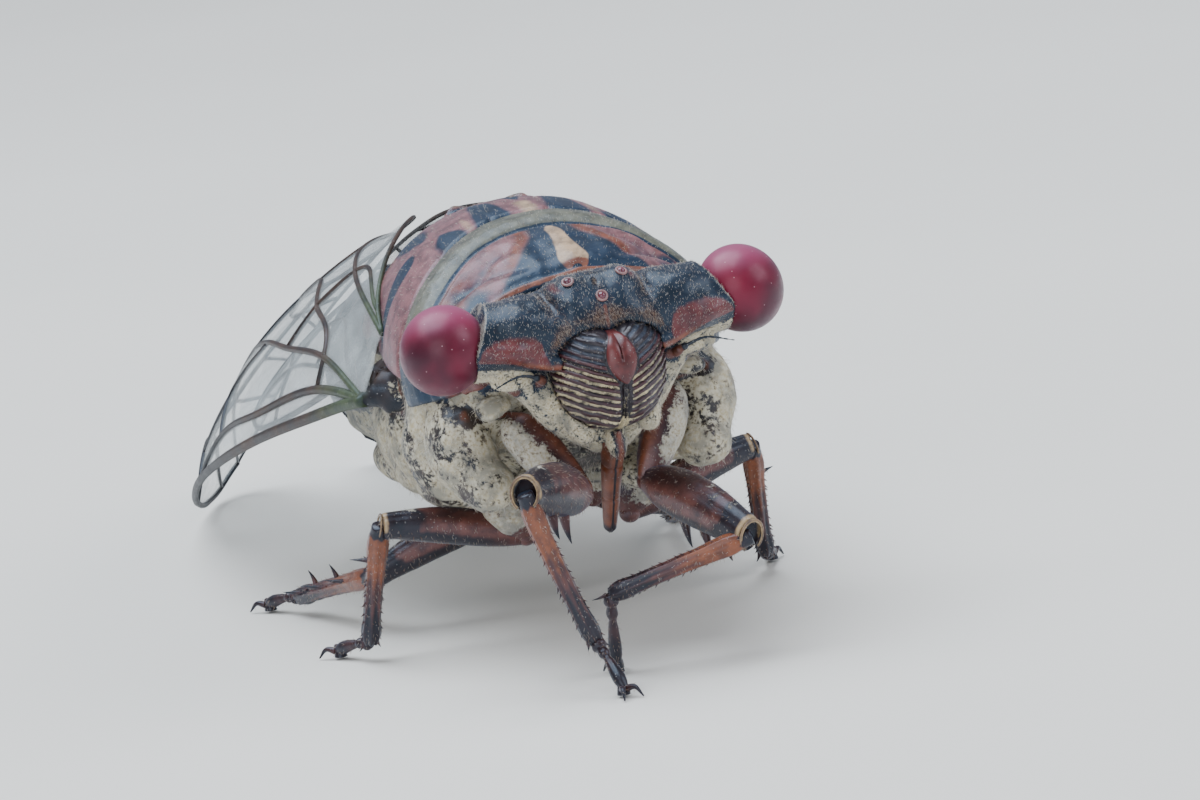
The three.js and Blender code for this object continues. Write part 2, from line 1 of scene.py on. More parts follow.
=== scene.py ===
"""A life-size model of a large annual cicada, standing with its wings folded over its back.

Shapes are worked out in millimetres from the point midway between the compound eyes, with +X to the
viewer's right, +Z up and the animal facing -Y, and are moved onto the frame when each piece is made.
On that scale FLOOR is the level of the floor.
"""

import logging
import math
from dataclasses import dataclass, field
from enum import Enum
from functools import cache
from typing import Sequence

import bpy
import numpy as np
from mathutils import Matrix, Vector


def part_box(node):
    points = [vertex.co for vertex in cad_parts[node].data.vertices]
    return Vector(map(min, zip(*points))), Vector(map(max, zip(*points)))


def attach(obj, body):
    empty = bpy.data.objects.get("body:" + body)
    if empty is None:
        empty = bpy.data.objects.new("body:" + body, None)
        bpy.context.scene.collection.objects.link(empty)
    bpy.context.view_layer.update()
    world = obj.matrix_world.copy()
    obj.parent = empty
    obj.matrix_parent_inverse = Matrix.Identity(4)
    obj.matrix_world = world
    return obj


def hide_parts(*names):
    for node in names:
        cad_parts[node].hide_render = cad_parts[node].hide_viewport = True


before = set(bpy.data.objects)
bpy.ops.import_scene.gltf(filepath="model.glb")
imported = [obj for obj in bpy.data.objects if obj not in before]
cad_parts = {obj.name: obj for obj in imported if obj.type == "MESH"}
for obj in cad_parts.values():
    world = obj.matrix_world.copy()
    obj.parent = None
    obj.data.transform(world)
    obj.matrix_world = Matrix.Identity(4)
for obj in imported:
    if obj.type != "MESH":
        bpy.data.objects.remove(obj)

Array = np.ndarray
Node = bpy.types.Node
Socket = bpy.types.NodeSocket
Tree = bpy.types.NodeTree
Colour = tuple[float, float, float]
Point = tuple[float, float, float]

MM = 0.001
FLOOR = -13.5
LOG = logging.getLogger("cicada")
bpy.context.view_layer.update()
SIDES = (("right", -1.0), ("left", 1.0))
ORIGIN = np.mean([corner for name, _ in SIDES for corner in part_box("eye_" + name)], axis=0)


class Slot(Enum):
    """The record's material slots."""

    CUTICLE = "cuticle"
    EYE = "eye"
    SHIELD = "shield"
    WAXED = "waxed_cuticle"
    LEG = "leg"
    BEAK = "beak"
    WING = "wing"


# Numbers and curves


def unit(vectors: Array) -> Array:
    """Returns vectors scaled to a length of 1."""
    return vectors / np.linalg.norm(vectors, axis=-1, keepdims=True)


def step(low: float, high: float, value: Array) -> Array:
    """Rises smoothly from 0 at low to 1 at high.

    Args:
        low: Where the rise starts.
        high: Where it ends; below low for a fall.
        value: The numbers to read.

    Returns:
        The share of the rise, between 0 and 1.
    """
    t = np.clip((value - low) / (high - low), 0.0, 1.0)
    return t * t * (3.0 - 2.0 * t)


def bump(value: Array, centre: float, width: float) -> Array:
    """Returns a bell curve of height 1 about centre."""
    return np.exp(-(((value - centre) / width) ** 2))


def smooth_table(value: Array, at: Sequence[float], rows: Sequence[float]) -> Array:
    """Reads a table along a smooth curve through its rows.

    Args:
        value: Where to read.
        at: The table's stations, rising.
        rows: The number at each station.

    Returns:
        The number at each value, held level past the ends.
    """
    at, rows = np.asarray(at, float), np.asarray(rows, float)
    slope = np.gradient(rows, at)
    value = np.clip(value, at[0], at[-1])
    i = np.clip(np.searchsorted(at, value) - 1, 0, len(at) - 2)
    span = at[i + 1] - at[i]
    t = (value - at[i]) / span
    a, b = rows[i], rows[i + 1]
    return (
        a * (1 + 2 * t) * (1 - t) ** 2
        + b * t * t * (3 - 2 * t)
        + span * t * (1 - t) * ((1 - t) * slope[i] - t * slope[i + 1])
    )


def smooth_path(points: Sequence[Sequence[float]], count: int) -> Array:
    """Draws a smooth curve through points.

    Args:
        points: The points to pass through, in two or three dimensions.
        count: How many points the curve gets.

    Returns:
        The points of the curve, evenly spread along it.
    """
    points = np.asarray(points, float)
    if len(points) == 2:
        return points[0] + (points[1] - points[0]) * np.linspace(0, 1, count)[:, None]
    along = np.r_[0, np.cumsum(np.linalg.norm(np.diff(points, axis=0), axis=1))]
    at = np.linspace(0, along[-1], count)
    return np.stack([smooth_table(at, along, column) for column in points.T], axis=1)


def wobble(points: Array, scale: float, seed: int, octaves: int = 3) -> Array:
    """A soft random field made of many slanting waves.

    Args:
        points: Where to read it.
        scale: How many waves fit in a millimetre.
        seed: Which field to read.
        octaves: How many sizes of wave are laid over each other.

    Returns:
        A number of about -1 to 1 for each point.
    """
    rng = np.random.default_rng(seed)
    total = np.zeros(len(points))
    for octave in range(octaves):
        for _ in range(5):
            way = rng.normal(size=3)
            way *= 2 * math.pi * scale * 2**octave / np.linalg.norm(way)
            total += np.sin(points @ way + rng.uniform(0, 2 * math.pi)) / 2**octave
    return total / 5.0


# Skins


@dataclass
class Skin:
    """A surface in the making: its points, its faces, and the masks painted on its points."""

    points: Array
    quads: Array
    tris: Array = field(default_factory=lambda: np.zeros((0, 3), int))
    masks: dict[str, Array] = field(default_factory=dict)
    unwrap: Array | None = None

    def normals(self) -> Array:
        """Returns the outward unit normal at each point."""
        p, q = self.points, self.quads
        total = np.zeros_like(p)
        if len(q):
            face = np.cross(p[q[:, 2]] - p[q[:, 0]], p[q[:, 3]] - p[q[:, 1]])
            for k in range(4):
                np.add.at(total, q[:, k], face)
        if len(self.tris):
            t = self.tris
            face = np.cross(p[t[:, 1]] - p[t[:, 0]], p[t[:, 2]] - p[t[:, 0]])
            for k in range(3):
                np.add.at(total, t[:, k], face)
        return total / np.maximum(np.linalg.norm(total, axis=1), 1e-12)[:, None]

    def even(self, value: float) -> Array:
        """Returns a mask with one value on every point."""
        return np.full(len(self.points), value)

    def push(self, by: Array) -> None:
        """Moves every point along its normal, by the millimetres given."""
        self.points = self.points + self.normals() * by[:, None]

    def on_side(self, side: float) -> "Skin":
        """Returns a skin of the left side as it is for 1, and mirrored onto the right side for -1."""
        if side > 0:
            return self
        points = self.points * [-1, 1, 1]
        return Skin(points, self.quads[:, ::-1], self.tris[:, ::-1], self.masks, self.unwrap)


def joined(skins: Sequence[Skin]) -> Skin:
    """Lays several skins together in one.

    Args:
        skins: The skins; a mask that one of them lacks is 0 on it.

    Returns:
        One skin that holds all their points and faces.
    """
    starts = np.cumsum([0] + [len(s.points) for s in skins])[:-1]
    names = sorted({name for s in skins for name in s.masks})
    masks = {n: np.concatenate([s.masks.get(n, s.even(0.0)) for s in skins]) for n in names}
    unwraps = [s.unwrap for s in skins]
    return Skin(
        np.concatenate([s.points for s in skins]),
        np.concatenate([s.quads + start for s, start in zip(skins, starts)]),
        np.concatenate([s.tris + start for s, start in zip(skins, starts)]),
        masks,
        None if any(u is None for u in unwraps) else np.concatenate(unwraps),
    )


def rings_skin(rings: Array) -> Skin:
    """Closes a skin over rings of points.

    Args:
        rings: An array of rings by points by 3, where each ring closes on itself.

    Returns:
        The skin, with a fan over each end and its faces pointing out.
    """
    count, sides = rings.shape[:2]
    index = np.arange(count * sides).reshape(count, sides)
    a, b = index[:-1], np.roll(index, -1, axis=1)[:-1]
    quads = np.stack([a, b, b + sides, a + sides], axis=-1).reshape(-1, 4)
    ends = np.stack([rings[0].mean(0), rings[-1].mean(0)])
    points = np.concatenate([rings.reshape(-1, 3), ends])
    first, last = index[0], index[-1]
    low = np.stack([np.roll(first, -1), first, np.full(sides, count * sides)], axis=1)
    high = np.stack([last, np.roll(last, -1), np.full(sides, count * sides + 1)], axis=1)
    skin = Skin(points, quads, np.concatenate([low, high]))
    middle = points.mean(0)
    if np.sum(skin.normals() * (points - middle)) < 0:
        skin = Skin(points, quads[:, ::-1], skin.tris[:, ::-1])
    return skin


def globe(centre: Point, radii: Point, around: Array, up: Array) -> tuple[Skin, Array]:
    """Makes a closed ball.

    Args:
        centre: Its centre.
        radii: Its three radii.
        around: The angles of its meridians, where 0 faces the front.
        up: The angles of its parallels, without the poles.

    Returns:
        The skin and the unit direction of each of its points.
    """
    a, b = around[None, :], up[:, None]
    ways = np.stack([np.cos(b) * np.sin(a), -np.cos(b) * np.cos(a), np.sin(b) + 0 * a], axis=-1)
    skin = rings_skin(ways)
    ways = unit(skin.points)
    skin.points = ways * np.array(radii) + np.array(centre)
    return skin, ways


def full_globe(centre: Point, radii: Point, sides: int) -> Skin:
    """Returns an evenly divided closed ball."""
    around = np.linspace(-math.pi, math.pi, sides, endpoint=False)
    half = sides // 2
    return globe(centre, radii, around, np.linspace(-math.pi / 2, math.pi / 2, half + 2)[1:-1])[0]


def tube(path: Array, radii: Array, sides: int, flat: float = 1.0, keel: float = 0.0) -> Skin:
    """Sweeps a round or flattened section along a path.

    Args:
        path: The points of the path.
        radii: The radius at each of them.
        sides: How many points each section has.
        flat: The share of the radius that the section keeps sideways.
        keel: How far the section is drawn out below, as a share of the radius.

    Returns:
        The closed skin, with the masks along (0 to 1 from end to end) and turn (the angle, 0 to 1).
    """
    ahead = unit(np.gradient(path, axis=0))
    side = np.cross([0.0, 0.0, 1.0], ahead)
    weak = np.linalg.norm(side, axis=1) < 0.25
    side[weak] = np.cross([1.0, 0.0, 0.0], ahead[weak])
    for i in range(1, len(side)):
        if side[i] @ side[i - 1] < 0:
            side[i] *= -1
    side = unit(side)
    up = np.cross(ahead, side)
    angle = np.linspace(0, 2 * math.pi, sides, endpoint=False)
    c, s = np.cos(angle), np.sin(angle)
    drop = np.where(s < 0, 1.0 + keel * s * s, 1.0)
    rings = path[:, None] + radii[:, None, None] * (
        side[:, None] * (c * flat)[None, :, None] + up[:, None] * (s * drop)[None, :, None]
    )
    skin = rings_skin(rings)
    along = np.r_[np.repeat(np.linspace(0, 1, len(path)), sides), 0.0, 1.0]
    turn = np.r_[np.tile(angle / (2 * math.pi), len(path)), 0.0, 0.0]
    skin.masks.update(along=along, turn=turn)
    skin.unwrap = np.stack([turn, along], axis=1)
    return skin


def ball_distance(
    p: Sequence[Array], centre: Point, radii: Point, lean: float = 0.0, roll: float = 0.0
) -> Array:
    """Measures how far points lie outside an ellipsoid.

    Args:
        p: The x, y and z of the points, which may be arrays that broadcast together.
        centre: The ellipsoid's centre.
        radii: Its radii.
        lean: How far it leans about the X axis, in radians.
        roll: How far it is rolled about the Y axis, in radians.

    Returns:
        About the distance from its surface, less than 0 inside.
    """
    x, y, z = p[0] - centre[0], p[1] - centre[1], p[2] - centre[2]
    c, s = math.cos(lean), math.sin(lean)
    y, z = y * c + z * s, z * c - y * s
    c, s = math.cos(roll), math.sin(roll)
    x, z = x * c + z * s, z * c - x * s
    rx, ry, rz = radii
    near = np.sqrt((x / rx) ** 2 + (y / ry) ** 2 + (z / rz) ** 2)
    slope = np.sqrt((x / rx**2) ** 2 + (y / ry**2) ** 2 + (z / rz**2) ** 2)
    return near * (near - 1.0) / np.maximum(slope, 1e-6)


def rod_distance(p: Sequence[Array], a: Point, b: Point, ra: float, rb: float) -> Array:
    """Measures how far points lie outside a tapering round-ended rod from a to b."""
    way = np.subtract(b, a)
    t = sum((p[k] - a[k]) * way[k] for k in range(3)) / float(way @ way)
    t = np.clip(t, 0.0, 1.0)
    off = sum((p[k] - a[k] - t * way[k]) ** 2 for k in range(3))
    return np.sqrt(off) - (ra + (rb - ra) * t)


class Clay:
    """A block of clay to model in: the distance from its surface on a fine grid."""

    def __init__(self, low: Point, high: Point, pitch: float) -> None:
        """Lays out an empty block between two corners, sampled every pitch millimetres."""
        self.low, self.pitch = np.array(low), pitch
        axes = [np.arange(a, b + pitch, pitch) for a, b in zip(low, high)]
        self.p = [axes[0][:, None, None], axes[1][None, :, None], axes[2][None, None, :]]
        self.far = np.full([len(a) for a in axes], 9.0)

    def join(self, other: Array, blend: float = 0.2) -> None:
        """Adds a shape, with a fillet of about blend where it meets the clay."""
        share = np.clip(0.5 + 0.5 * (other - self.far) / blend, 0, 1)
        self.far = other + (self.far - other) * share - blend * share * (1 - share)

    def carve(self, other: Array, blend: float = 0.1) -> None:
        """Takes a shape away, with an edge rounded by about blend."""
        self.far = -self.far
        self.join(other, blend)
        self.far = -self.far

    def sample(self, points: Array) -> tuple[Array, Array]:
        """Reads the distance and its slope at points inside the block."""
        grid = (points - self.low) / self.pitch
        cell = np.clip(np.floor(grid).astype(int), 0, np.array(self.far.shape) - 2)
        t = grid - cell
        value, slope = np.zeros(len(points)), np.zeros_like(points)
        for corner in np.ndindex(2, 2, 2):
            weight = [t[:, k] if corner[k] else 1 - t[:, k] for k in range(3)]
            at = self.far[tuple((cell + corner).T)]
            value += at * weight[0] * weight[1] * weight[2]
            for k in range(3):
                others = weight[(k + 1) % 3] * weight[(k + 2) % 3]
                slope[:, k] += at * others * (1 if corner[k] else -1) / self.pitch
        return value, slope

    def fired(self) -> Skin:
        """Returns the surface of the clay as a skin of even quads."""
        solid = self.far < 0
        shape = np.array(self.far.shape) - 1
        held = np.zeros(shape, int)
        for corner in np.ndindex(2, 2, 2):
            held += solid[tuple(slice(c, c + n) for c, n in zip(corner, shape))]
        live = (held > 0) & (held < 8)
        cells = np.argwhere(live)
        index = np.full(shape, -1)
        index[live] = np.arange(len(cells))
        total, crossings = np.zeros((len(cells), 3)), np.zeros(len(cells))
        for axis in range(3):
            for corner in np.ndindex(2, 2, 2):
                if corner[axis]:
                    continue
                a = np.array(corner)
                b = a + (np.arange(3) == axis)
                da, db = self.far[tuple((cells + a).T)], self.far[tuple((cells + b).T)]
                cross = (da < 0) != (db < 0)
                t = da[cross] / (da[cross] - db[cross])
                total[cross] += a + (b - a) * t[:, None]
                crossings[cross] += 1
        points = self.low + (cells + total / crossings[:, None]) * self.pitch
        quads = []
        for axis in range(3):
            u, v = (axis + 1) % 3, (axis + 2) % 3
            ahead = np.roll(solid, -1, axis=axis)
            change = solid != ahead
            for k in range(3):
                edge = [slice(None)] * 3
                edge[k] = slice(-1, None)
                change[tuple(edge)] = False
                edge[k] = slice(0, 1)
                change[tuple(edge)] &= k == axis
            at = np.argwhere(change)
            du, dv = (np.arange(3) == u).astype(int), (np.arange(3) == v).astype(int)
            ring = np.stack([index[tuple((at - o).T)] for o in (0 * du, du, du + dv, dv)], axis=1)
            turned = ~solid[tuple(at.T)]
            ring[turned] = ring[turned][:, ::-1]
            quads.append(ring)
        skin = Skin(points, np.concatenate(quads))
        for _ in range(2):
            value, slope = self.sample(skin.points)
            size = np.maximum(np.sum(slope**2, axis=1), 0.2)
            move = slope * (value / size)[:, None]
            skin.points = skin.points - np.clip(move, -self.pitch / 2, self.pitch / 2)
        if np.sum(skin.normals() * self.sample(skin.points)[1]) < 0:
            skin.quads = skin.quads[:, ::-1]
        return skin


def make_piece(
    name: str, skin: Skin, finish: "Finish", stands_for: Sequence[str] = (), coat: bool = False
) -> None:
    """Turns a skin into a Blender object that rides on the frame.

    Args:
        name: The piece's name.
        skin: Its surface, in millimetres from the middle of the eyes.
        finish: What it is dressed in.
        stands_for: The nodes of the frame that it replaces.
        coat: Whether it is a coat of hairs, which keeps each hair's patch of the unwrap.
    """
    mesh = bpy.data.meshes.new(name)
    faces = skin.quads.tolist() + skin.tris.tolist()
    mesh.from_pydata((skin.points * MM + ORIGIN).tolist(), [], faces)
    mesh.validate()
    mesh.polygons.foreach_set("use_smooth", np.ones(len(mesh.polygons), bool))
    for mask, values in skin.masks.items():
        layer = mesh.attributes.new(mask, "FLOAT", "POINT")
        layer.data.foreach_set("value", values.astype(np.float32))
    if coat:
        layer = mesh.uv_layers.new(name="OFBake")
        corners = np.zeros(len(mesh.loops), int)
        mesh.loops.foreach_get("vertex_index", corners)
        layer.data.foreach_set("uv", skin.unwrap[corners].astype(np.float32).ravel())
    mesh.update()
    piece = bpy.data.objects.new(name, mesh)
    bpy.context.scene.collection.objects.link(piece)
    mesh.materials.append(finish.material())
    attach(piece, "root")
    if stands_for:
        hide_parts(*stands_for)
    LOG.info("%s: %d points, %d faces", name, len(skin.points), len(faces))


# Finishes


class NodeGraph:
    """A short way to write shader nodes."""

    def __init__(self, tree: Tree) -> None:
        """Starts writing into a node tree."""
        self.tree = tree

    def add(self, kind: str, settings: dict | None = None, **inputs: object) -> Node:
        """Adds a node.

        Args:
            kind: The node's type, without its ShaderNode prefix.
            settings: Properties to set on it.
            inputs: Its inputs, as for feed.

        Returns:
            The node.
        """
        node = self.tree.nodes.new("ShaderNode" + kind)
        for key, value in (settings or {}).items():
            setattr(node, key, value)
        return self.feed(node, **inputs)

    def group(self, tree: Tree, **inputs: object) -> Node:
        """Adds a node group."""
        return self.add("Group", {"node_tree": tree}, **inputs)

    def feed(self, node: Node, **inputs: object) -> Node:
        """Fills a node's inputs.

        Args:
            node: The node.
            inputs: Values or sockets for its inputs, by name, or by number as _0, _1.

        Returns:
            The node.
        """
        for key, value in inputs.items():
            socket = node.inputs[int(key[1:]) if key[0] == "_" else key.replace("_", " ")]
            if isinstance(value, Socket):
                self.tree.links.new(value, socket)
            elif isinstance(value, tuple) and len(value) == 3 and socket.type == "RGBA":
                socket.default_value = (*value, 1.0)
            else:
                socket.default_value = value
        return node

    def math(self, operation: str, a: object, b: object) -> Socket:
        """Returns the result of a Math node."""
        return self.add("Math", {"operation": operation}, _0=a, _1=b).outputs[0]

    def times(self, a: object, b: object) -> Socket:
        """Returns a times b."""
        return self.math("MULTIPLY", a, b)

    def plus(self, a: object, b: object) -> Socket:
        """Returns a plus b."""
        return self.math("ADD", a, b)

    def minus(self, a: object, b: object) -> Socket:
        """Returns a minus b."""
        return self.math("SUBTRACT", a, b)

    def rise(self, value: object, low: float, high: float, first: float = 0.0, last: float = 1.0) -> Socket:
        """Returns value mapped smoothly from low..high to first..last."""
        smooth = {"interpolation_type": "SMOOTHSTEP"}
        return self.add("MapRange", smooth, _0=value, _1=low, _2=high, _3=first, _4=last).outputs[0]

    def cloud(self, scale: float, detail: float, roughness: float, low: float, high: float) -> Socket:
        """Returns noise mapped smoothly from low..high to 0..1."""
        return self.rise(self.noise(scale, detail, roughness), low, high)

    def blend(self, share: object, a: object, b: object) -> Socket:
        """Returns a colour between a and b."""
        return self.add("Mix", {"data_type": "RGBA"}, _0=share, _6=a, _7=b).outputs[2]

    def mask(self, name: str) -> Socket:
        """Returns the mask of that name painted on the skin."""
        return self.add("Attribute", {"attribute_name": name}).outputs["Fac"]

    def millimetres(self) -> Socket:
        """Returns the place on the piece, in millimetres."""
        place = self.add("TexCoord").outputs["Object"]
        return self.add("VectorMath", {"operation": "SCALE"}, _0=place, Scale=1 / MM).outputs[0]

    def noise(self, scale: object, detail: float = 4.0, roughness: float = 0.55) -> Socket:
        """Returns noise with that many swells to the millimetre."""
        place = self.millimetres()
        return self.add("TexNoise", Vector=place, Scale=scale, Detail=detail, Roughness=roughness).outputs[0]


def shade(colour: Colour, share: float) -> Colour:
    """Returns a colour made that many times as bright."""
    return tuple(min(1.0, c * share) for c in colour)


def new_group(name: str, inputs: dict[str, float], outputs: Sequence[str]) -> tuple[NodeGraph, Node, Node]:
    """Starts a shader node group of float sockets.

    Args:
        name: The group's name.
        inputs: Its inputs and their default values.
        outputs: Its outputs.

    Returns:
        The graph to write in, its input node and its output node.
    """
    tree = bpy.data.node_groups.new(name, "ShaderNodeTree")
    for key, value in inputs.items():
        socket = tree.interface.new_socket(name=key, in_out="INPUT", socket_type="NodeSocketFloat")
        socket.default_value = value
    for key in outputs:
        tree.interface.new_socket(name=key, in_out="OUTPUT", socket_type="NodeSocketFloat")
    return NodeGraph(tree), tree.nodes.new("NodeGroupInput"), tree.nodes.new("NodeGroupOutput")


@cache
def ragged_mark_group() -> Tree:
    """Returns the group that gives a painted mark a natural, ragged edge."""
    inputs = {"Mask": 0.0, "Scale": 3.0, "Raggedness": 0.3, "Softness": 0.1}
    g, inside, out = new_group("ragged mark", inputs, ["Mask"])
    noise = g.noise(inside.outputs["Scale"], 5.0, 0.65)
    shift = g.times(g.minus(noise, 0.5), inside.outputs["Raggedness"])
    level = g.minus(g.plus(inside.outputs["Mask"], shift), 0.5)
    soft = g.math("DIVIDE", level, inside.outputs["Softness"])
    g.feed(out, Mask=g.add("Clamp", _0=g.plus(soft, 0.5)).outputs[0])
    return g.tree


@cache
def cuticle_grain_group() -> Tree:
    """Returns the group for the fine relief of chitin: pits, wrinkles and a soft unevenness."""
    g, inside, out = new_group("cuticle grain", {"Pits": 14.0, "Wrinkles": 2.5}, ["Height", "Cloud"])
    cells = g.add("TexVoronoi", Vector=g.millimetres(), Scale=inside.outputs["Pits"]).outputs["Distance"]
    pits = g.rise(cells, 0.05, 0.5)
    wrinkles = g.noise(inside.outputs["Wrinkles"], 6.0, 0.7)
    height = g.plus(g.times(pits, 0.4), g.times(wrinkles, 1.2))
    g.feed(out, Height=height, Cloud=g.noise(0.8, 3.0, 0.5))
    return g.tree


@cache
def wax_group() -> Tree:
    """Returns the group for chalky wax that has flaked away in small dark flecks."""
    inputs = {"Mask": 0.0, "Flecks": 0.4, "Scale": 2.0}
    g, inside, out = new_group("wax bloom", inputs, ["Cover", "Tone", "Height"])
    coarse = g.noise(inside.outputs["Scale"], 6.0, 0.7)
    fine = g.noise(g.times(inside.outputs["Scale"], 4.0), 3.0, 0.6)
    mixed = g.plus(g.times(coarse, 0.75), g.times(fine, 0.25))
    worn = g.times(g.minus(mixed, 0.5), 2.6)
    room = g.minus(g.times(inside.outputs["Mask"], 1.5), inside.outputs["Flecks"])
    level = g.plus(room, worn)
    cover = g.rise(level, 0.12, 0.42)
    crumbs = g.times(g.noise(16.0, 3.0, 0.7), 0.5)
    g.feed(out, Cover=cover, Tone=fine, Height=g.times(cover, g.plus(crumbs, 0.6)))
    return g.tree


@cache
def speck_group() -> Tree:
    """Returns the group for pale dust specks and the bases of broken hairs."""
    g, inside, out = new_group("pale specks", {"Scale": 9.0, "Amount": 0.3}, ["Mask"])
    cells = g.add("TexVoronoi", Vector=g.millimetres(), Scale=inside.outputs["Scale"])
    dot = g.rise(cells.outputs["Distance"], 0.30, 0.12)
    chance = g.add("SeparateColor", _0=cells.outputs["Color"]).outputs[0]
    picked = g.math("LESS_THAN", chance, inside.outputs["Amount"])
    g.feed(out, Mask=g.times(dot, picked))
    return g.tree


DUST_SCALE = 9.0
DUST_COVER = 0.35


@dataclass(frozen=True)
class Finish:
    """What a piece is dressed in."""

    name: str

    def material(self) -> bpy.types.Material:
        """Returns the finish as a material, made once."""
        if self.name in bpy.data.materials:
            return bpy.data.materials[self.name]
        made = bpy.data.materials.new(self.name)
        made.use_nodes = True
        graph = NodeGraph(made.node_tree)
        self.write(graph, made.node_tree.nodes["Principled BSDF"])
        return made

    def write(self, g: NodeGraph, surface: Node) -> None:
        """Writes the finish's nodes and sets its surface."""
        raise NotImplementedError


@dataclass(frozen=True)
class Mark:
    """One colour painted on chitin where a mask says."""

    mask: str
    colour: Colour
    ragged: float = 0.35
    scale: float = 3.0
    soft: float = 0.12


@dataclass(frozen=True)
class Chitin(Finish):
    """Hard insect skin with its markings, wax and dust."""

    base: Colour = (0.012, 0.015, 0.022)
    marks: tuple[Mark, ...] = ()
    wax: Colour = (0.62, 0.58, 0.46)
    flecks: float = 0.95
    wax_scale: float = 2.0
    roughness: float = 0.42
    coat: float = 0.18
    haze: float = 0.04
    haze_tint: Colour = (0.25, 0.45, 0.9)
    gloss: Colour = (0.5, 0.72, 1.0)
    specks: float = 0.16
    pits: float = 14.0
    wrinkles: float = 2.5
    relief: float = 0.012

    def write(self, g: NodeGraph, surface: Node) -> None:
        """Writes base colour, marks, wax and specks, and the relief of each."""
        grain = g.group(cuticle_grain_group(), Pits=self.pits, Wrinkles=self.wrinkles)
        cloud = grain.outputs["Cloud"]
        colour = g.blend(g.rise(cloud, 0.35, 0.65), shade(self.base, 0.55), shade(self.base, 1.5))
        for mark in self.marks:
            painted = g.mask(mark.mask)
            ragged = {"Scale": mark.scale, "Raggedness": mark.ragged, "Softness": mark.soft}
            edge = g.group(ragged_mark_group(), Mask=painted, **ragged).outputs[0]
            tone = g.blend(g.cloud(1.6, 6.0, 0.68, 0.34, 0.62), shade(mark.colour, 0.5), mark.colour)
            colour = g.blend(edge, colour, tone)
        wax = g.group(wax_group(), Mask=g.mask("wax"), Flecks=self.flecks, Scale=self.wax_scale)
        warm = (self.wax[0] * 0.78, self.wax[1] * 0.70, self.wax[2] * 0.55)
        chalk = g.blend(g.rise(wax.outputs["Tone"], 0.35, 0.65), warm, self.wax)
        chalk = g.blend(g.cloud(0.9, 6.0, 0.65, 0.56, 0.38), chalk, shade(self.wax, 0.5))
        colour = g.blend(wax.outputs["Cover"], colour, chalk)
        dust = g.group(speck_group(), Scale=DUST_SCALE, Amount=self.specks).outputs[0]
        colour = g.blend(g.times(dust, DUST_COVER), colour, (0.5, 0.5, 0.5))
        rough = g.plus(self.roughness, g.times(g.minus(cloud, 0.5), 0.3))
        rough = g.math("MAXIMUM", rough, g.times(wax.outputs["Cover"], 0.9))
        height = g.plus(grain.outputs["Height"], g.times(wax.outputs["Height"], 1.6))
        bare = g.minus(1.0, wax.outputs["Cover"])
        g.feed(
            surface,
            Base_Color=colour,
            Roughness=rough,
            Normal=g.add("Bump", Strength=0.8, Distance=self.relief * MM, Height=height).outputs[0],
            Coat_Weight=g.times(bare, self.coat),
            Coat_Roughness=0.22,
            Specular_Tint=self.gloss,
            Sheen_Weight=self.haze,
            Sheen_Roughness=0.4,
            Sheen_Tint=self.haze_tint,
        )


@dataclass(frozen=True)
class EyeFinish(Finish):
    """The wine-red glaze of a compound eye over its facets, with painted light, paler where bloom paints a
    sky reflection.
    """

    deep: Colour = (0.020, 0.001, 0.005)
    # bright is the red of the painted light; pale is the colour of the painted sky reflection on top.
    bright: Colour = (0.15, 0.003, 0.020)
    pale: Colour = (0.34, 0.075, 0.17)
    facets: float = 26.0

    def write(self, g: NodeGraph, surface: Node) -> None:
        """Writes a mottled red with painted light and a painted sky reflection, facets, dust and a clear
        coat.
        """
        tone = g.times(g.cloud(0.55, 2.0, 0.5, 0.35, 0.65), 0.45)
        # Painted light lifts the red towards bright, and a painted reflection of the sky makes the top pale.
        colour = g.blend(g.plus(tone, g.mask("glow")), self.deep, self.bright)
        colour = g.blend(g.mask("bloom"), colour, self.pale)
        dust = g.group(speck_group(), Scale=DUST_SCALE, Amount=0.05).outputs[0]
        colour = g.blend(g.times(dust, DUST_COVER), colour, (0.75, 0.5, 0.55))
        cells = g.add("TexVoronoi", Vector=g.millimetres(), Scale=self.facets).outputs["Distance"]
        domes = g.minus(1.0, cells)
        g.feed(
            surface,
            Base_Color=colour,
            Roughness=g.rise(g.noise(3.0, 3.0, 0.6), 0.3, 0.7, 0.36, 0.5),
            Normal=g.add("Bump", Strength=0.25, Distance=0.004 * MM, Height=domes).outputs[0],
            Specular_IOR_Level=0.4,
            Specular_Tint=(1.0, 0.6, 0.85),
            Coat_Weight=0.25,
            Coat_Roughness=0.3,
            Sheen_Weight=0.12,
            Sheen_Tint=(0.9, 0.5, 0.8),
        )


@dataclass(frozen=True)
class MembraneFinish(Finish):
    """The clear, faintly wrinkled membrane of a wing."""

    tint: Colour = (0.62, 0.68, 0.70)
    clear: float = 0.28

    def write(self, g: NodeGraph, surface: Node) -> None:
        """Writes a thin see-through film that is cloudier beside its veins."""
        cloud = g.cloud(0.5, 4.0, 0.6, 0.3, 0.7)
        colour = g.blend(cloud, shade(self.tint, 0.72), self.tint)
        colour = g.blend(g.mask("smoke"), colour, (0.10, 0.075, 0.05))
        alpha = g.plus(self.clear, g.times(g.mask("smoke"), 0.35))
        alpha = g.plus(alpha, g.times(cloud, 0.08))
        ripple = g.plus(g.noise(1.4, 5.0, 0.6), g.times(g.noise(9.0, 2.0, 0.5), 0.15))
        g.feed(
            surface,
            Base_Color=colour,
            Alpha=alpha,
            Roughness=g.rise(cloud, 0.0, 1.0, 0.16, 0.3),
            Normal=g.add("Bump", Strength=0.6, Distance=0.05 * MM, Height=ripple).outputs[0],
            Coat_Weight=0.5,
            Coat_Roughness=0.1,
        )


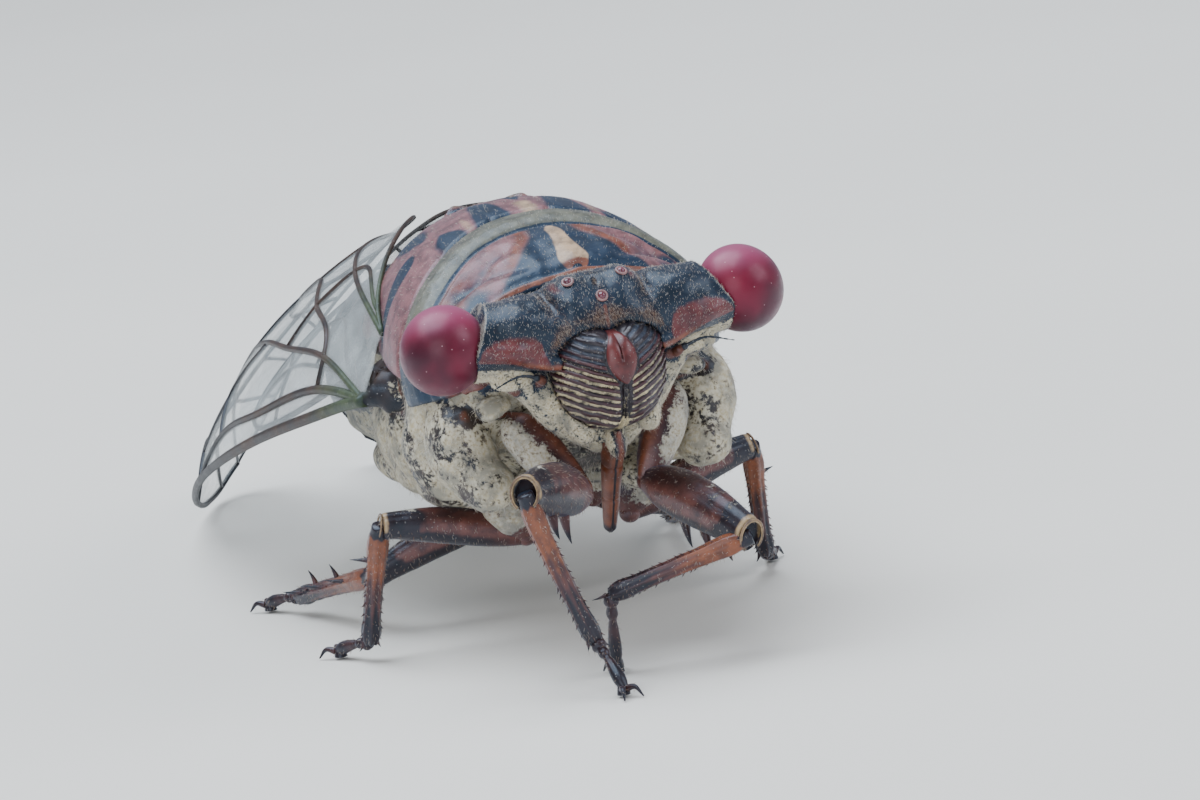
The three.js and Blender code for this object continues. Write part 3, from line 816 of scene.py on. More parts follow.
@dataclass(frozen=True)
class HairFinish(Finish):
    """Fine bristles, from golden brown to silvery white."""

    dark: Colour = (0.20, 0.085, 0.03)
    pale: Colour = (0.66, 0.65, 0.60)

    def write(self, g: NodeGraph, surface: Node) -> None:
        """Writes each hair's own tone, darker at its root."""
        colour = g.blend(g.mask("tone"), self.dark, self.pale)
        colour = g.blend(g.times(g.mask("root"), 0.5), colour, self.dark)
        g.feed(surface, Base_Color=colour, Roughness=g.rise(g.noise(6.0), 0.3, 0.7, 0.35, 0.55))


@dataclass(frozen=True)
class FloorFinish(Finish):
    """A pale, plain studio floor."""

    tone: Colour = (0.78, 0.77, 0.74)

    def write(self, g: NodeGraph, surface: Node) -> None:
        """Writes an almost even pale tone."""
        colour = g.blend(g.cloud(0.02, 3.0, 0.5, 0.3, 0.7), shade(self.tone, 0.97), self.tone)
        g.feed(surface, Base_Color=colour, Roughness=0.85, Specular_IOR_Level=0.2)


# The blue cast of BLACK and of the shields' black marks is a painted reflection of the sky on black chitin.
BLACK: Colour = (0.005, 0.008, 0.016)
SKY_SHEEN_BLACK: Colour = (0.009, 0.020, 0.044)
RUST: Colour = (0.13, 0.028, 0.022)
PINK: Colour = (0.25, 0.110, 0.115)
ORANGE: Colour = (0.25, 0.085, 0.042)
OLIVE: Colour = (0.150, 0.148, 0.108)
BEIGE: Colour = (0.52, 0.36, 0.23)
LEG_ORANGE: Colour = (0.23, 0.070, 0.022)
DARK_BROWN: Colour = (0.020, 0.009, 0.009)
PALE_HORN: Colour = (0.40, 0.28, 0.15)

HEAD_FINISH = Chitin(
    "head cuticle",
    base=BLACK,
    marks=(
        Mark("gold", (0.07, 0.028, 0.013), 1.3, 6.0, 0.9),
        Mark("rust", RUST, 1.0, 2.0, 0.35),
        Mark("orange", (0.21, 0.062, 0.026), 0.9, 3.0, 0.6),
        Mark("brown", (0.15, 0.05, 0.03), 0.4, 4.0, 0.25),
        Mark("seam", (0.22, 0.20, 0.17), 0.9, 8.0, 0.3),
    ),
    wax=(0.60, 0.56, 0.44),
    flecks=1.06,
    wax_scale=3.0,
    haze=0.1,
)
PLATE_FINISH = Chitin(
    "face plate",
    base=(0.012, 0.007, 0.009),
    gloss=(0.8, 0.86, 1.0),
    marks=(
        Mark("grey", (0.06, 0.075, 0.11), 0.6, 6.0, 0.5),
        Mark("warm", (0.060, 0.012, 0.013), 0.8, 4.0, 0.6),
        Mark("spot", (0.12, 0.020, 0.017), 0.15, 5.0, 0.1),
    ),
    wax=(0.70, 0.63, 0.44),
    flecks=1.08,
    wax_scale=5.5,
    roughness=0.33,
)
SHIELD_FINISH = Chitin(
    "back shields",
    marks=(
        Mark("pink", PINK, 0.7, 1.2, 0.6),
        Mark("rust", (0.22, 0.065, 0.032), 0.7, 1.4, 0.5),
        Mark("olive", OLIVE, 0.5, 1.4, 0.5),
        Mark("black", SKY_SHEEN_BLACK, 0.6, 1.3, 0.45),
        Mark("beige", BEIGE, 0.5, 2.0, 0.35),
        Mark("orange", ORANGE, 0.2, 4.0, 0.25),
    ),
    base=(0.05, 0.03, 0.026),
    wax=(0.5, 0.48, 0.42),
    haze=0.06,
    roughness=0.4,
)
WAXED_FINISH = Chitin(
    "waxed underside",
    marks=(
        Mark("brown", (0.17, 0.060, 0.028), 0.35, 2.5, 0.3),
        Mark("blue", (0.020, 0.028, 0.05), 0.5, 2.0, 0.5),
    ),
    base=(0.045, 0.032, 0.024),
    wax=(0.56, 0.53, 0.43),
    wax_scale=1.5,
    coat=0.1,
)
ABDOMEN_FINISH = Chitin(
    "abdomen cuticle",
    marks=(Mark("rust", (0.16, 0.055, 0.03), 0.3, 2.0, 0.2),),
    base=(0.012, 0.011, 0.012),
    wax=(0.5, 0.48, 0.40),
    haze=0.1,
)
LEG_FINISH = Chitin(
    "leg cuticle",
    base=(0.060, 0.020, 0.014),
    marks=(
        Mark("rose", (0.16, 0.060, 0.045), 0.6, 1.4, 0.7),
        Mark("amber", LEG_ORANGE, 0.5, 2.5, 0.5),
        Mark("dark", DARK_BROWN, 0.4, 2.5, 0.4),
        Mark("pale", PALE_HORN, 0.7, 4.0, 0.5),
    ),
    wax=(0.50, 0.48, 0.42),
    haze=0.1,
    pits=11.0,
    relief=0.015,
    roughness=0.36,
)
BEAK_FINISH = Chitin(
    "beak cuticle",
    base=(0.13, 0.040, 0.015),
    marks=(Mark("dark", DARK_BROWN, 0.3, 3.0, 0.3),),
)
VEIN_FINISH = Chitin(
    "wing veins",
    haze=0.0,
    base=(0.038, 0.020, 0.011),
    marks=(
        Mark("green", (0.06, 0.085, 0.035), 0.3, 1.5, 0.7),
        Mark("dark", (0.018, 0.012, 0.010), 0.2, 1.5, 0.5),
    ),
    pits=9.0,
    roughness=0.5,
    coat=0.06,
)
OCELLUS_FINISH = Chitin(
    "simple eyes",
    base=(0.10, 0.012, 0.022),
    marks=(Mark("ring", (0.30, 0.14, 0.13), 0.3, 6.0, 0.3),),
    coat=1.0,
    roughness=0.2,
    specks=0.05,
    relief=0.003,
)
EYE_FINISH = EyeFinish("compound eye")
MEMBRANE_FINISH = MembraneFinish("wing membrane")
HAIR_FINISH = HairFinish("bristles")


# Hairs


@dataclass(frozen=True)
class Hairs:
    """One growth of fine bristles, each a slim three-sided spike bent along the body.

    Its seed is followed by how many hairs it has, how thick they are, the shortest and the longest, the way
    that they lie, how much they stand up from the skin (0 to 1) and how pale they are on average (0 to 1).
    """

    seed: int
    count: int
    thickness: float
    length: tuple[float, float]
    comb: Point
    lift: float
    tone: float

    POINTS = 7
    STRAY = 0.28
    SAG = 0.18
    TONE_SPREAD = 0.22
    PATCH = 0.0015

    def grow(self, skin: Skin, where: Array) -> Skin:
        """Plants the hairs at random on a skin.

        Args:
            skin: The skin they grow on, with its unwrap.
            where: The share of the full number that each point of the skin gets.

        Returns:
            The hairs, each with its own patch of the skin's unwrap.
        """
        rng = np.random.default_rng(self.seed)
        count, p, q = self.count, skin.points, skin.quads
        area = np.linalg.norm(np.cross(p[q[:, 2]] - p[q[:, 0]], p[q[:, 3]] - p[q[:, 1]]), axis=1)
        odds = area * where[q].mean(axis=1)
        picked = rng.choice(len(q), count, p=odds / odds.sum())
        s, t = rng.uniform(0, 1, (2, count, 1))
        corner = [p[q[picked, k]] for k in range(4)]
        root = (1 - s) * ((1 - t) * corner[0] + t * corner[3]) + s * ((1 - t) * corner[1] + t * corner[2])
        normal = skin.normals()[q[picked, 0]]
        lie = np.array(self.comb) - normal * (normal @ np.array(self.comb))[:, None]
        lie /= np.maximum(np.linalg.norm(lie, axis=1), 0.2)[:, None]
        way = unit(normal * self.lift + lie * (1 - self.lift) + rng.normal(0, self.STRAY, (count, 3)))
        size = rng.uniform(*self.length, count)[:, None]
        side = unit(np.cross(way, rng.normal(size=(count, 3))))
        other = np.cross(way, side)
        sag = (lie - normal * 0.5) * size * self.SAG
        rows = []
        for share, thick, sunk in ((0.0, 1.0, 0.02), (0.55, 0.7, 0.0)):
            middle = root + way * size * share + sag * share**2 - normal * sunk
            for angle in (0.0, 2 * math.pi / 3, 4 * math.pi / 3):
                off = side * math.cos(angle) + other * math.sin(angle)
                rows.append(middle + off * self.thickness * thick)
        rows.append(root + way * size + sag)
        points = np.stack(rows, axis=1).reshape(-1, 3)
        start = np.arange(count)[:, None, None] * self.POINTS
        quads = (start + np.array([[0, 1, 4, 3], [1, 2, 5, 4], [2, 0, 3, 5]])).reshape(-1, 4)
        tris = (start + np.array([[3, 4, 6], [4, 5, 6], [5, 3, 6]])).reshape(-1, 3)
        tones = np.clip(rng.normal(self.tone, self.TONE_SPREAD, count), 0, 1)
        turn = 0.9 * np.arange(self.POINTS)
        patch = np.stack([np.cos(turn), np.sin(turn)], axis=1) * self.PATCH
        unwrap = (skin.unwrap[q[picked, 0]][:, None] + patch).reshape(-1, 2)
        masks = {
            "tone": np.repeat(tones, self.POINTS),
            "root": np.tile([1, 1, 1, 0.2, 0.2, 0.2, 0], count),
        }
        return Skin(points, quads, tris, masks, np.clip(unwrap, 0.0, 1.0))


# The trunk's cross-sections


SIDE_POWER = 0.88
TOP_POWER = 0.95
MARGIN_TURN = 1.68


@dataclass(frozen=True)
class Section:
    """The half width, top, widest level and bottom of a part of the body along its length."""

    y: tuple[float, ...]
    half: tuple[float, ...]
    top: tuple[float, ...]
    level: tuple[float, ...]
    bottom: tuple[float, ...]

    def at(self, y: Array) -> tuple[Array, Array, Array, Array]:
        """Returns half width, top, level and bottom at y."""
        return tuple(smooth_table(y, self.y, row) for row in (self.half, self.top, self.level, self.bottom))

    def point(self, y: Array, angle: Array, swell: Array | float = 0.0) -> Array:
        """Returns the points of the skin at y and at an angle from the animal's left side."""
        half, top, level, bottom = self.at(y)
        c, s = np.cos(angle), np.sin(angle)
        rise = np.where(s > 0, top - level, level - bottom)
        x = np.sign(c) * np.abs(c) ** SIDE_POWER * (half + swell)
        z = level + np.sign(s) * np.abs(s) ** TOP_POWER * (rise + swell)
        return np.stack(np.broadcast_arrays(x, y, z), axis=-1)

    def angle_of(self, y: Array, z: Array) -> Array:
        """Returns the angle at which the skin's left side reaches the level z."""
        _, top, level, bottom = self.at(y)
        share = np.where(z > level, (z - level) / (top - level), (z - level) / (level - bottom))
        return np.arcsin(np.sign(share) * np.abs(np.clip(share, -1, 1)) ** (1 / TOP_POWER))


TRUNK = Section(
    y=(1.6, 3.6, 5.9, 7.6, 10.0, 12.6, 14.4, 15.5),
    half=(4.7, 6.0, 6.5, 6.45, 6.05, 5.85, 5.6, 5.3),
    top=(1.2, 2.05, 2.9, 3.4, 3.65, 3.05, 1.9, 1.0),
    level=(-1.3, -1.8, -2.1, -2.3, -2.4, -2.6, -2.8, -3.0),
    bottom=(-3.7, -5.9, -7.3, -7.7, -7.9, -7.9, -7.8, -7.6),
)
ABDOMEN = Section(
    y=(15.4, 17.5, 19.5, 24.0, 28.0, 31.0, 33.0, 34.2),
    half=(5.0, 5.2, 5.3, 4.75, 3.6, 2.45, 1.5, 0.35),
    top=(0.85, 0.9, 0.7, -0.3, -2.0, -3.8, -5.4, -6.8),
    level=(-3.1, -3.4, -3.7, -4.5, -5.4, -6.2, -6.8, -7.2),
    bottom=(-7.5, -7.8, -7.9, -8.3, -8.6, -8.6, -8.3, -7.6),
)


def reach_of(points: Array) -> Array:
    """Returns the share of the way that points of the back lie round to the side margin."""
    half, _, level, _ = TRUNK.at(points[:, 1])
    flat = np.clip(np.abs(points[:, 0]) / (half + 0.2), 0, 1) ** (1 / SIDE_POWER)
    angle = np.arccos(flat) * np.where(points[:, 2] > level, 1, -1)
    return (math.pi / 2 - angle) / MARGIN_TURN


def lean(z: Array) -> Array:
    """Returns how far the back's markings lean to the left of the body at the level z."""
    return 0.45 * step(-1.0, 2.0, z)


def body_unwrap(points: Array) -> Array:
    """Returns the unwrap of the trunk about its own length."""
    turn = np.arctan2(points[:, 0], points[:, 2] + 2.5) / (2 * math.pi) + 0.5
    return np.stack([turn, (points[:, 1] + 3.0) / 40.0], axis=1)


def shell(outer: Array, thickness: float, rounding: int = 5, inner: int = 18) -> Skin:
    """Makes a closed curved plate with rounded edges from the grid of its outer face.

    Args:
        outer: A grid of rows by columns by 3, each row running from one side margin to the other.
        thickness: How thick the plate is.
        rounding: How many steps round each edge.
        inner: How many points the inner face has across.

    Returns:
        The closed plate.
    """
    columns = outer.shape[1]
    across = unit(np.gradient(outer, axis=1))
    normal = unit(np.cross(across, np.gradient(outer, axis=0)))
    if np.sum(normal[:, columns // 2, 2]) < 0:
        normal = -normal
    r = thickness / 2
    turns = math.pi * (np.arange(rounding) + 1) / (rounding + 1)
    back = np.linspace(columns - 1, 0, inner).astype(int)
    rows = []
    for line, n, way in zip(outer, normal, across):
        first = [line[0] - way[0] * r * math.sin(a) - n[0] * r * (1 - math.cos(a)) for a in turns[::-1]]
        last = [line[-1] + way[-1] * r * math.sin(a) - n[-1] * r * (1 - math.cos(a)) for a in turns]
        rows.append(np.concatenate([first, line, last, (line - n * thickness)[back]]))
    rings = np.stack(rows)
    half = rings.shape[1] - inner
    depth = np.interp(np.arange(half), [0, half - 1], [0, columns - 1]).astype(int)
    caps = []
    for edge, sign in ((0, -1.0), (-1, 1.0)):
        ahead = sign * unit(np.gradient(rings, axis=0)[edge])
        mid = rings[edge].copy()
        mid[:half] -= normal[edge][depth] * r
        mid[half:] += normal[edge][back] * r
        bends = [mid + (rings[edge] - mid) * math.cos(a / 2) + ahead * r * math.sin(a / 2) for a in turns]
        caps.append(np.stack(bends))
    return rings_skin(np.concatenate([caps[0][::-1], rings, caps[1]]))


# Head


@dataclass
class Head:
    """The head between the eyes, with its ledges over the feelers and its waxed cheeks."""

    pitch: float = 0.075

    @staticmethod
    def inside(across: Array, z: Array) -> Array:
        """Returns how far sideways a point lies inside the slanting seam of the eye."""
        return 5.1 - 0.55 * z - 0.08 * np.minimum(z, 0.0) ** 2 - across

    def sculpt(self) -> Skin:
        """Returns the modelled surface of the head."""
        clay = Clay((-6.0, -2.7, -6.1), (6.0, 1.75, 2.4), self.pitch)
        x, y, z = clay.p
        across = np.abs(x)
        side = [across, y, z]
        at = [0.0, 1.0, 1.9, 3.0, 4.2, 5.2, 5.8]
        centre_y = smooth_table(across, at, [0.05, 0.05, 0.05, 0.08, 0.12, 0.18, 0.2])
        centre_z = smooth_table(across, at, [0.0, 0.0, -0.06, -0.12, -0.12, -0.05, -0.05])
        radius = smooth_table(across, at, [1.8, 1.77, 1.62, 1.5, 1.47, 1.55, 1.55])
        bar = np.sqrt((y - centre_y) ** 2 + (z - centre_z) ** 2) - radius
        clay.join(np.maximum(bar, -self.inside(across, z) / 1.14), 0.01)
        clay.join(ball_distance(side, (0.95, -0.4, 0.65), (0.8, 1.1, 1.12), 0.4), 0.25)
        clay.join(ball_distance(side, (3.3, -0.55, 0.3), (1.1, 0.9, 0.85), 0.0, 0.1), 0.5)
        clay.join(ball_distance(side, (3.85, -0.98, -0.48), (1.4, 0.72, 0.5), 0.0, 0.12), 0.25)
        clay.join(rod_distance(side, (1.9, -1.45, -1.3), (5.0, -0.8, -0.45), 0.3, 0.36), 0.3)
        clay.join(rod_distance(side, (3.4, 0.5, -1.15), (0.4, 0.5, -4.7), 1.05, 0.62), 0.45)
        clay.join(ball_distance(side, (0.0, 0.8, -2.6), (2.9, 1.3, 2.4)), 0.5)
        clay.join(ball_distance(side, (1.35, -0.35, -3.6), (0.62, 0.7, 1.15), -0.5), 0.14)
        clay.join(ball_distance(side, (0.0, -0.3, -4.75), (0.42, 0.5, 0.85), -0.3), 0.12)
        clay.join(rod_distance(side, (0.0, -0.8, -4.4), (0.0, -0.55, -5.5), 0.12, 0.12), 0.08)
        clay.join(ball_distance(side, (3.6, -0.35, -1.75), (1.0, 0.5, 0.35)), 0.25)
        clay.carve(rod_distance(side, (1.88, -1.5, 0.6), (2.1, 0.9, 1.84), 0.02, 0.10), 0.75)
        clay.carve(rod_distance(side, (0.0, -1.2, 1.42), (0.0, 1.2, 1.9), 0.05, 0.05), 0.1)
        clay.carve(rod_distance(side, (0.0, -1.75, 0.45), (0.0, -1.95, -0.2), 0.12, 0.2), 0.15)
        clay.carve(rod_distance(side, (2.35, -1.35, -1.75), (4.4, -0.75, -1.1), 0.1, 0.08), 0.08)
        clay.carve(ball_distance(side, (2.75, -1.0, -1.85), (0.26, 0.3, 0.24)), 0.08)
        plate = FacePlate()
        place = [p - c for p, c in zip(side, plate.centre)]
        clay.carve((plate.reach(place) - 1.0) * 1.9 - 0.03, 0.07)
        eyes = Eyes()
        socket = tuple(r + 0.03 for r in eyes.radii)
        clay.carve(ball_distance(side, eyes.centre, socket, 0.0, eyes.roll), 0.06)
        clay.far = np.maximum(clay.far, y - 1.5)
        skin = clay.fired()
        p = skin.points
        upper = step(-0.9, 0.2, p[:, 2]) * step(4.95, 4.5, np.abs(p[:, 0]))
        skin.push(0.05 * wobble(p, 0.5, 3, 3) * upper + 0.025 * wobble(p, 1.1, 5, 4))
        return skin

    def paint(self, skin: Skin) -> None:
        """Paints the rust patches, the orange rim, the golden down and the wax."""
        x, y, z = np.abs(skin.points[:, 0]), skin.points[:, 1], skin.points[:, 2]
        edge = np.interp(x, [0.0, 1.8, 2.66, 4.0, 5.0, 5.4], [-1.75, -1.58, -1.45, -0.98, -0.8, -0.72])
        top_at = (2.45, 2.62, 2.87, 3.4, 4.08, 4.6, 5.0, 5.3)
        top = smooth_table(x, top_at, (-1.0, -0.5, -0.14, 0.02, 0.1, 0.0, -0.22, -0.5))
        inner = step(2.3, 2.75, x)
        seam = self.inside(x, z)
        patch = inner * step(0.0, 0.3, seam) * step(0.3, -0.3, z - top) * step(-0.02, 0.1, z - edge - 0.08)
        front = step(0.5, 0.1, y)
        rim = bump(z - edge - 0.16, 0.0, 0.15) * step(1.7, 1.95, x) * step(4.6, 2.6, x) * front
        strip = bump(x, 0.0, 0.11) * step(0.85, 0.6, z) * step(-0.4, -0.1, z) * front
        shoulder = np.interp(x, [0.0, 0.5, 1.2, 1.8, 2.2, 2.5], [0.12, 0.16, 0.08, -0.15, -0.6, -1.1])
        about = bump(z - shoulder, 0.12, 0.22) * step(2.6, 2.2, x)
        about *= 0.35 + bump(x, 1.9, 0.35) + bump(x, 0.3, 0.3)
        tuft = 0.6 * bump(x, 0.28, 0.12) * bump(z, 0.45, 0.4) + 0.4 * bump(x, 0.0, 0.14) * bump(z, 1.55, 0.25)
        tuft += 0.3 * bump(x, 1.9, 0.3) * bump(z, 0.9, 0.7)
        below = step(-0.02, -0.22, z - edge)
        rear = step(0.9, 1.3, y) * step(-1.2, -0.9, z)
        stripe = bump(x, 0.0, 0.16) * step(-4.3, -4.5, z)
        cheek = bump(np.hypot(x - 2.7, z + 1.95), 0.0, 0.26) + bump(np.hypot(x - 3.6, z + 2.3), 0.0, 0.2)
        lid = bump(np.hypot(x - 1.55, z - 1.5), 0.0, 0.26) * front
        skin.masks.update(
            rust=np.clip(patch * front + 0.62 * lid, 0, 1),
            orange=np.clip(rim + stripe, 0, 1) * 0.9,
            brown=np.clip(0.75 * strip + cheek, 0, 1),
            gold=np.clip(about + tuft, 0, 1) * front * (1 - below) * 0.75,
            wax=np.clip(below * (1 - rear) * (1 - 0.9 * stripe) * (1 - 0.9 * cheek), 0, 1),
            seam=bump(seam, 0.03, 0.035) * step(-1.2, -0.6, z),
        )
        turn = np.arctan2(skin.points[:, 1], skin.points[:, 2] + 1.0) / (2 * math.pi) + 0.5
        skin.unwrap = np.stack([turn, (skin.points[:, 0] + 6.0) / 12.0], axis=1)

    def build(self) -> Skin:
        """Makes the head and returns its skin for the hairs."""
        skin = self.sculpt()
        self.paint(skin)
        make_piece("head_skin", skin, HEAD_FINISH, ["head"])
        return skin


@dataclass
class FacePlate:
    """The swollen plate on the face, ribbed on both sides of its middle."""

    centre: Point = (0.0, -0.75, -1.75)
    radii: Point = (2.24, 2.1, 2.55)
    top: float = 1.7
    fullness: float = 2.7
    fullness_below: float = 2.1
    spacing: float = 0.295
    height: float = 0.11
    rise: float = 0.27

    def reach(self, place: Sequence[Array]) -> Array:
        """Measures points against the plate's plain surface, an egg with full shoulders.

        Args:
            place: The x, y and z of the points from the plate's centre.

        Returns:
            How many times farther out than the surface they lie.
        """
        x, y, z = place
        notch = 0.32 * bump(x / np.maximum(z, 1e-3), 0.0, 0.2)
        tall = np.where(z > 0, self.top - notch, self.radii[2])
        power = np.where(z > 0, self.fullness, self.fullness_below)
        level = np.sqrt((x / self.radii[0]) ** 2 + (y / self.radii[1]) ** 2)
        return (level**power + np.abs(z / tall) ** power) ** (1 / power)

    def build(self) -> Skin:
        """Makes the plate and returns its skin for the hairs."""
        around = np.radians(np.r_[np.linspace(-120, 120, 250), np.linspace(132, 228, 9)])
        skin, ways = globe((0.0, 0.0, 0.0), (1.0, 1.0, 1.0), around, np.radians(np.linspace(-88, 88, 230)))
        skin.points = ways / self.reach(ways.T)[:, None] + self.centre
        x, z = skin.points[:, 0], skin.points[:, 2]
        across = np.abs(x)
        line = z - self.rise * across - 0.07 * across**2 + 0.035 * wobble(skin.points, 0.8, 11, 3)
        wave = 0.5 + 0.5 * np.cos(2 * math.pi * line / self.spacing)
        crest = step(0.22, 0.72, wave)
        spot_at = (-2.3, -2.15, -1.9, -1.6, -1.3, -1.0, -0.7, -0.45, -0.25, -0.1)
        spot_half = smooth_table(z, spot_at, (0.0, 0.2, 0.40, 0.54, 0.60, 0.56, 0.43, 0.28, 0.14, 0.1))
        spot = step(0.04, -0.04, across - spot_half) * step(-2.3, -2.2, z)
        band = np.maximum(spot_half + 0.04, np.interp(z, [-4.4, -2.3, -0.6, 0.0], [0.1, 0.2, 0.3, 0.4]))
        sides = step(0.0, 0.14, across - band)
        ribbed = sides * step(-0.3, -0.75, line) * step(-4.25, -3.9, z) * (ways[:, 1] < 0.35)
        swell = self.height * (crest - 0.6 + 0.35 * wobble(skin.points, 1.3, 13, 3)) * ribbed
        dome = np.sqrt(np.clip(1 - (across / np.maximum(spot_half, 0.05)) ** 2, 0, 1))
        slit = bump(x, -0.04, 0.035) * step(-1.5, -1.2, z) * step(-0.4, -0.55, z)
        swell += 0.17 * dome * (1 - 0.6 * slit) * step(-0.15, -0.5, z)
        swell += 0.1 * bump(across, 0.85, 0.4) * bump(z, -0.45, 0.35)
        swell -= 0.16 * bump(across, 0.0, 0.2) * step(-2.2, -2.5, z)
        skin.push(swell)
        hollow = (1 - crest) * ribbed
        low = step(-1.72, -2.05, line)
        flank = 0.3 * step(1.3, 2.1, across) * step(-1.6, -2.4, z)
        middle = step(0.24, 0.1, across) * step(-2.3, -2.5, z) * 0.75
        ends = step(-3.6, -4.1, z) * 0.8
        grain = wobble(skin.points, 1.6, 12, 3)
        skin.masks.update(
            spot=spot * (1 - 0.85 * slit),
            warm=crest * ribbed * np.clip(bump(line, -1.95, 0.45) + 0.55 * step(-1.2, -2.4, line), 0, 1),
            grey=hollow * (1 - low) * 0.8,
            wax=np.clip(step(0.34, 0.72, hollow + flank + 0.28 * grain) * low + middle + ends, 0, 1),
        )
        skin.unwrap = np.stack([(x + 3) / 12 + 0.2, (z + 5) / 12], axis=1)
        make_piece("face_plate", skin, PLATE_FINISH, ["clypeus"])
        return skin


@dataclass
class Eyes:
    """The two bulging compound eyes and the three simple eyes between them."""

    centre: Point = (6.1, 0.2, -0.1)
    radii: Point = (1.66, 1.7, 1.76)
    roll: float = math.radians(31)
    simple: tuple[Point, ...] = ((0.0, -1.43, 1.0), (1.09, -0.86, 1.68), (-1.09, -0.86, 1.68))
    simple_radius: float = 0.17

    def build(self) -> None:
        """Makes the compound eyes and the simple eyes."""
        around = np.linspace(-math.pi, math.pi, 96, endpoint=False)
        rows = np.linspace(-math.pi / 2, math.pi / 2, 66)[1:-1]
        for name, side in SIDES:
            skin, ways = globe((0.0, 0.0, 0.0), self.radii, around, rows)
            c, s = math.cos(self.roll), math.sin(self.roll) * side
            px, pz = skin.points[:, 0].copy(), skin.points[:, 2].copy()
            skin.points[:, 0], skin.points[:, 2] = px * c - pz * s, pz * c + px * s
            skin.points += np.array(self.centre) * [side, 1, 1]
            height = (skin.points[:, 2] - self.centre[2]) / self.radii[2]
            inner = step(0.8, -0.5, ways[:, 0] * side)
            # Painted light: the top and the inner side are painted brighter, and bloom paints a pale
            # reflection of the sky across the top.
            skin.masks["glow"] = 0.45 * step(-0.3, 0.9, height) + 0.5 * inner * step(-0.9, 0.0, height)
            skin.masks["bloom"] = 0.65 * step(0.25, 1.0, height + 0.15 * ways[:, 1])
            make_piece(f"eye_glaze_{name}", skin, EYE_FINISH, ["eye_" + name])
        parts = []
        for centre in self.simple:
            r = self.simple_radius
            dome = full_globe(centre, (r, r, r), 28)
            dome.masks["ring"] = dome.even(0.0)
            out = unit(np.array(centre) - [centre[0] * 0.6, 0.1, 0.0])
            a = unit(np.cross(out, [1.0, 0.2, 0.0]))
            b = np.cross(out, a)
            angle = np.linspace(0, 2 * math.pi, 33)[:-1, None]
            loop = np.array(centre) + out * 0.03 + (a * np.cos(angle) + b * np.sin(angle)) * r * 1.15
            beads = [full_globe(tuple(p), (0.06, 0.06, 0.06), 8) for p in loop]
            for bead in beads:
                bead.masks["ring"] = bead.even(1.0)
            parts += [dome, *beads]
        make_piece("simple_eyes", joined(parts), OCELLUS_FINISH)


@dataclass
class Feelers:
    """The short bristle-like antennae in their sockets below the ledges."""

    path: tuple[Point, ...] = (
        (2.72, -0.9, -1.85),
        (3.05, -1.25, -1.62),
        (3.7, -1.5, -1.4),
        (5.0, -1.5, -1.75),
    )

    def build(self) -> None:
        """Makes both antennae."""
        share = np.linspace(0, 1, 70)
        at = [0, 0.1, 0.13, 0.22, 0.25, 0.6, 1.0]
        radius = np.interp(share, at, [0.2, 0.19, 0.15, 0.14, 0.07, 0.045, 0.015])
        radius += 0.006 * np.sign(np.sin(share * 60)) * step(0.3, 0.4, share)
        for name, side in SIDES:
            skin = tube(smooth_path(np.array(self.path) * [side, 1, 1], len(share)), radius, 14)
            skin.masks.update(wax=skin.even(0.0), rust=step(0.25, 0.1, skin.masks["along"]))
            make_piece(f"feeler_{name}", skin, ABDOMEN_FINISH, ["antenna_" + name])


@dataclass
class Beak:
    """The jointed beak between the front legs."""

    path: tuple[Point, ...] = ((0.0, -0.15, -4.6), (0.0, 0.75, -6.0), (0.0, 1.5, -7.3), (0.0, 2.35, -8.9))

    def build(self) -> None:
        """Makes the beak."""
        share = np.linspace(0, 1, 90)
        at = [0, 0.06, 0.28, 0.3, 0.33, 0.62, 0.64, 0.66, 0.95, 1.0]
        radius = np.interp(share, at, [0.3, 0.62, 0.5, 0.42, 0.5, 0.42, 0.37, 0.42, 0.3, 0.08])
        skin = tube(smooth_path(self.path, 90), radius, 32, flat=0.85)
        groove = bump(skin.masks["turn"], 0.75, 0.025)
        skin.push(-0.1 * groove + 0.015 * wobble(skin.points, 0.8, 21))
        skin.masks["dark"] = np.clip(groove + step(0.8, 1.0, skin.masks["along"]), 0, 1)
        skin.masks["wax"] = 0.35 * step(0.3, 0.0, skin.masks["along"])
        make_piece("beak", skin, BEAK_FINISH, ["rostrum"])


# Thorax


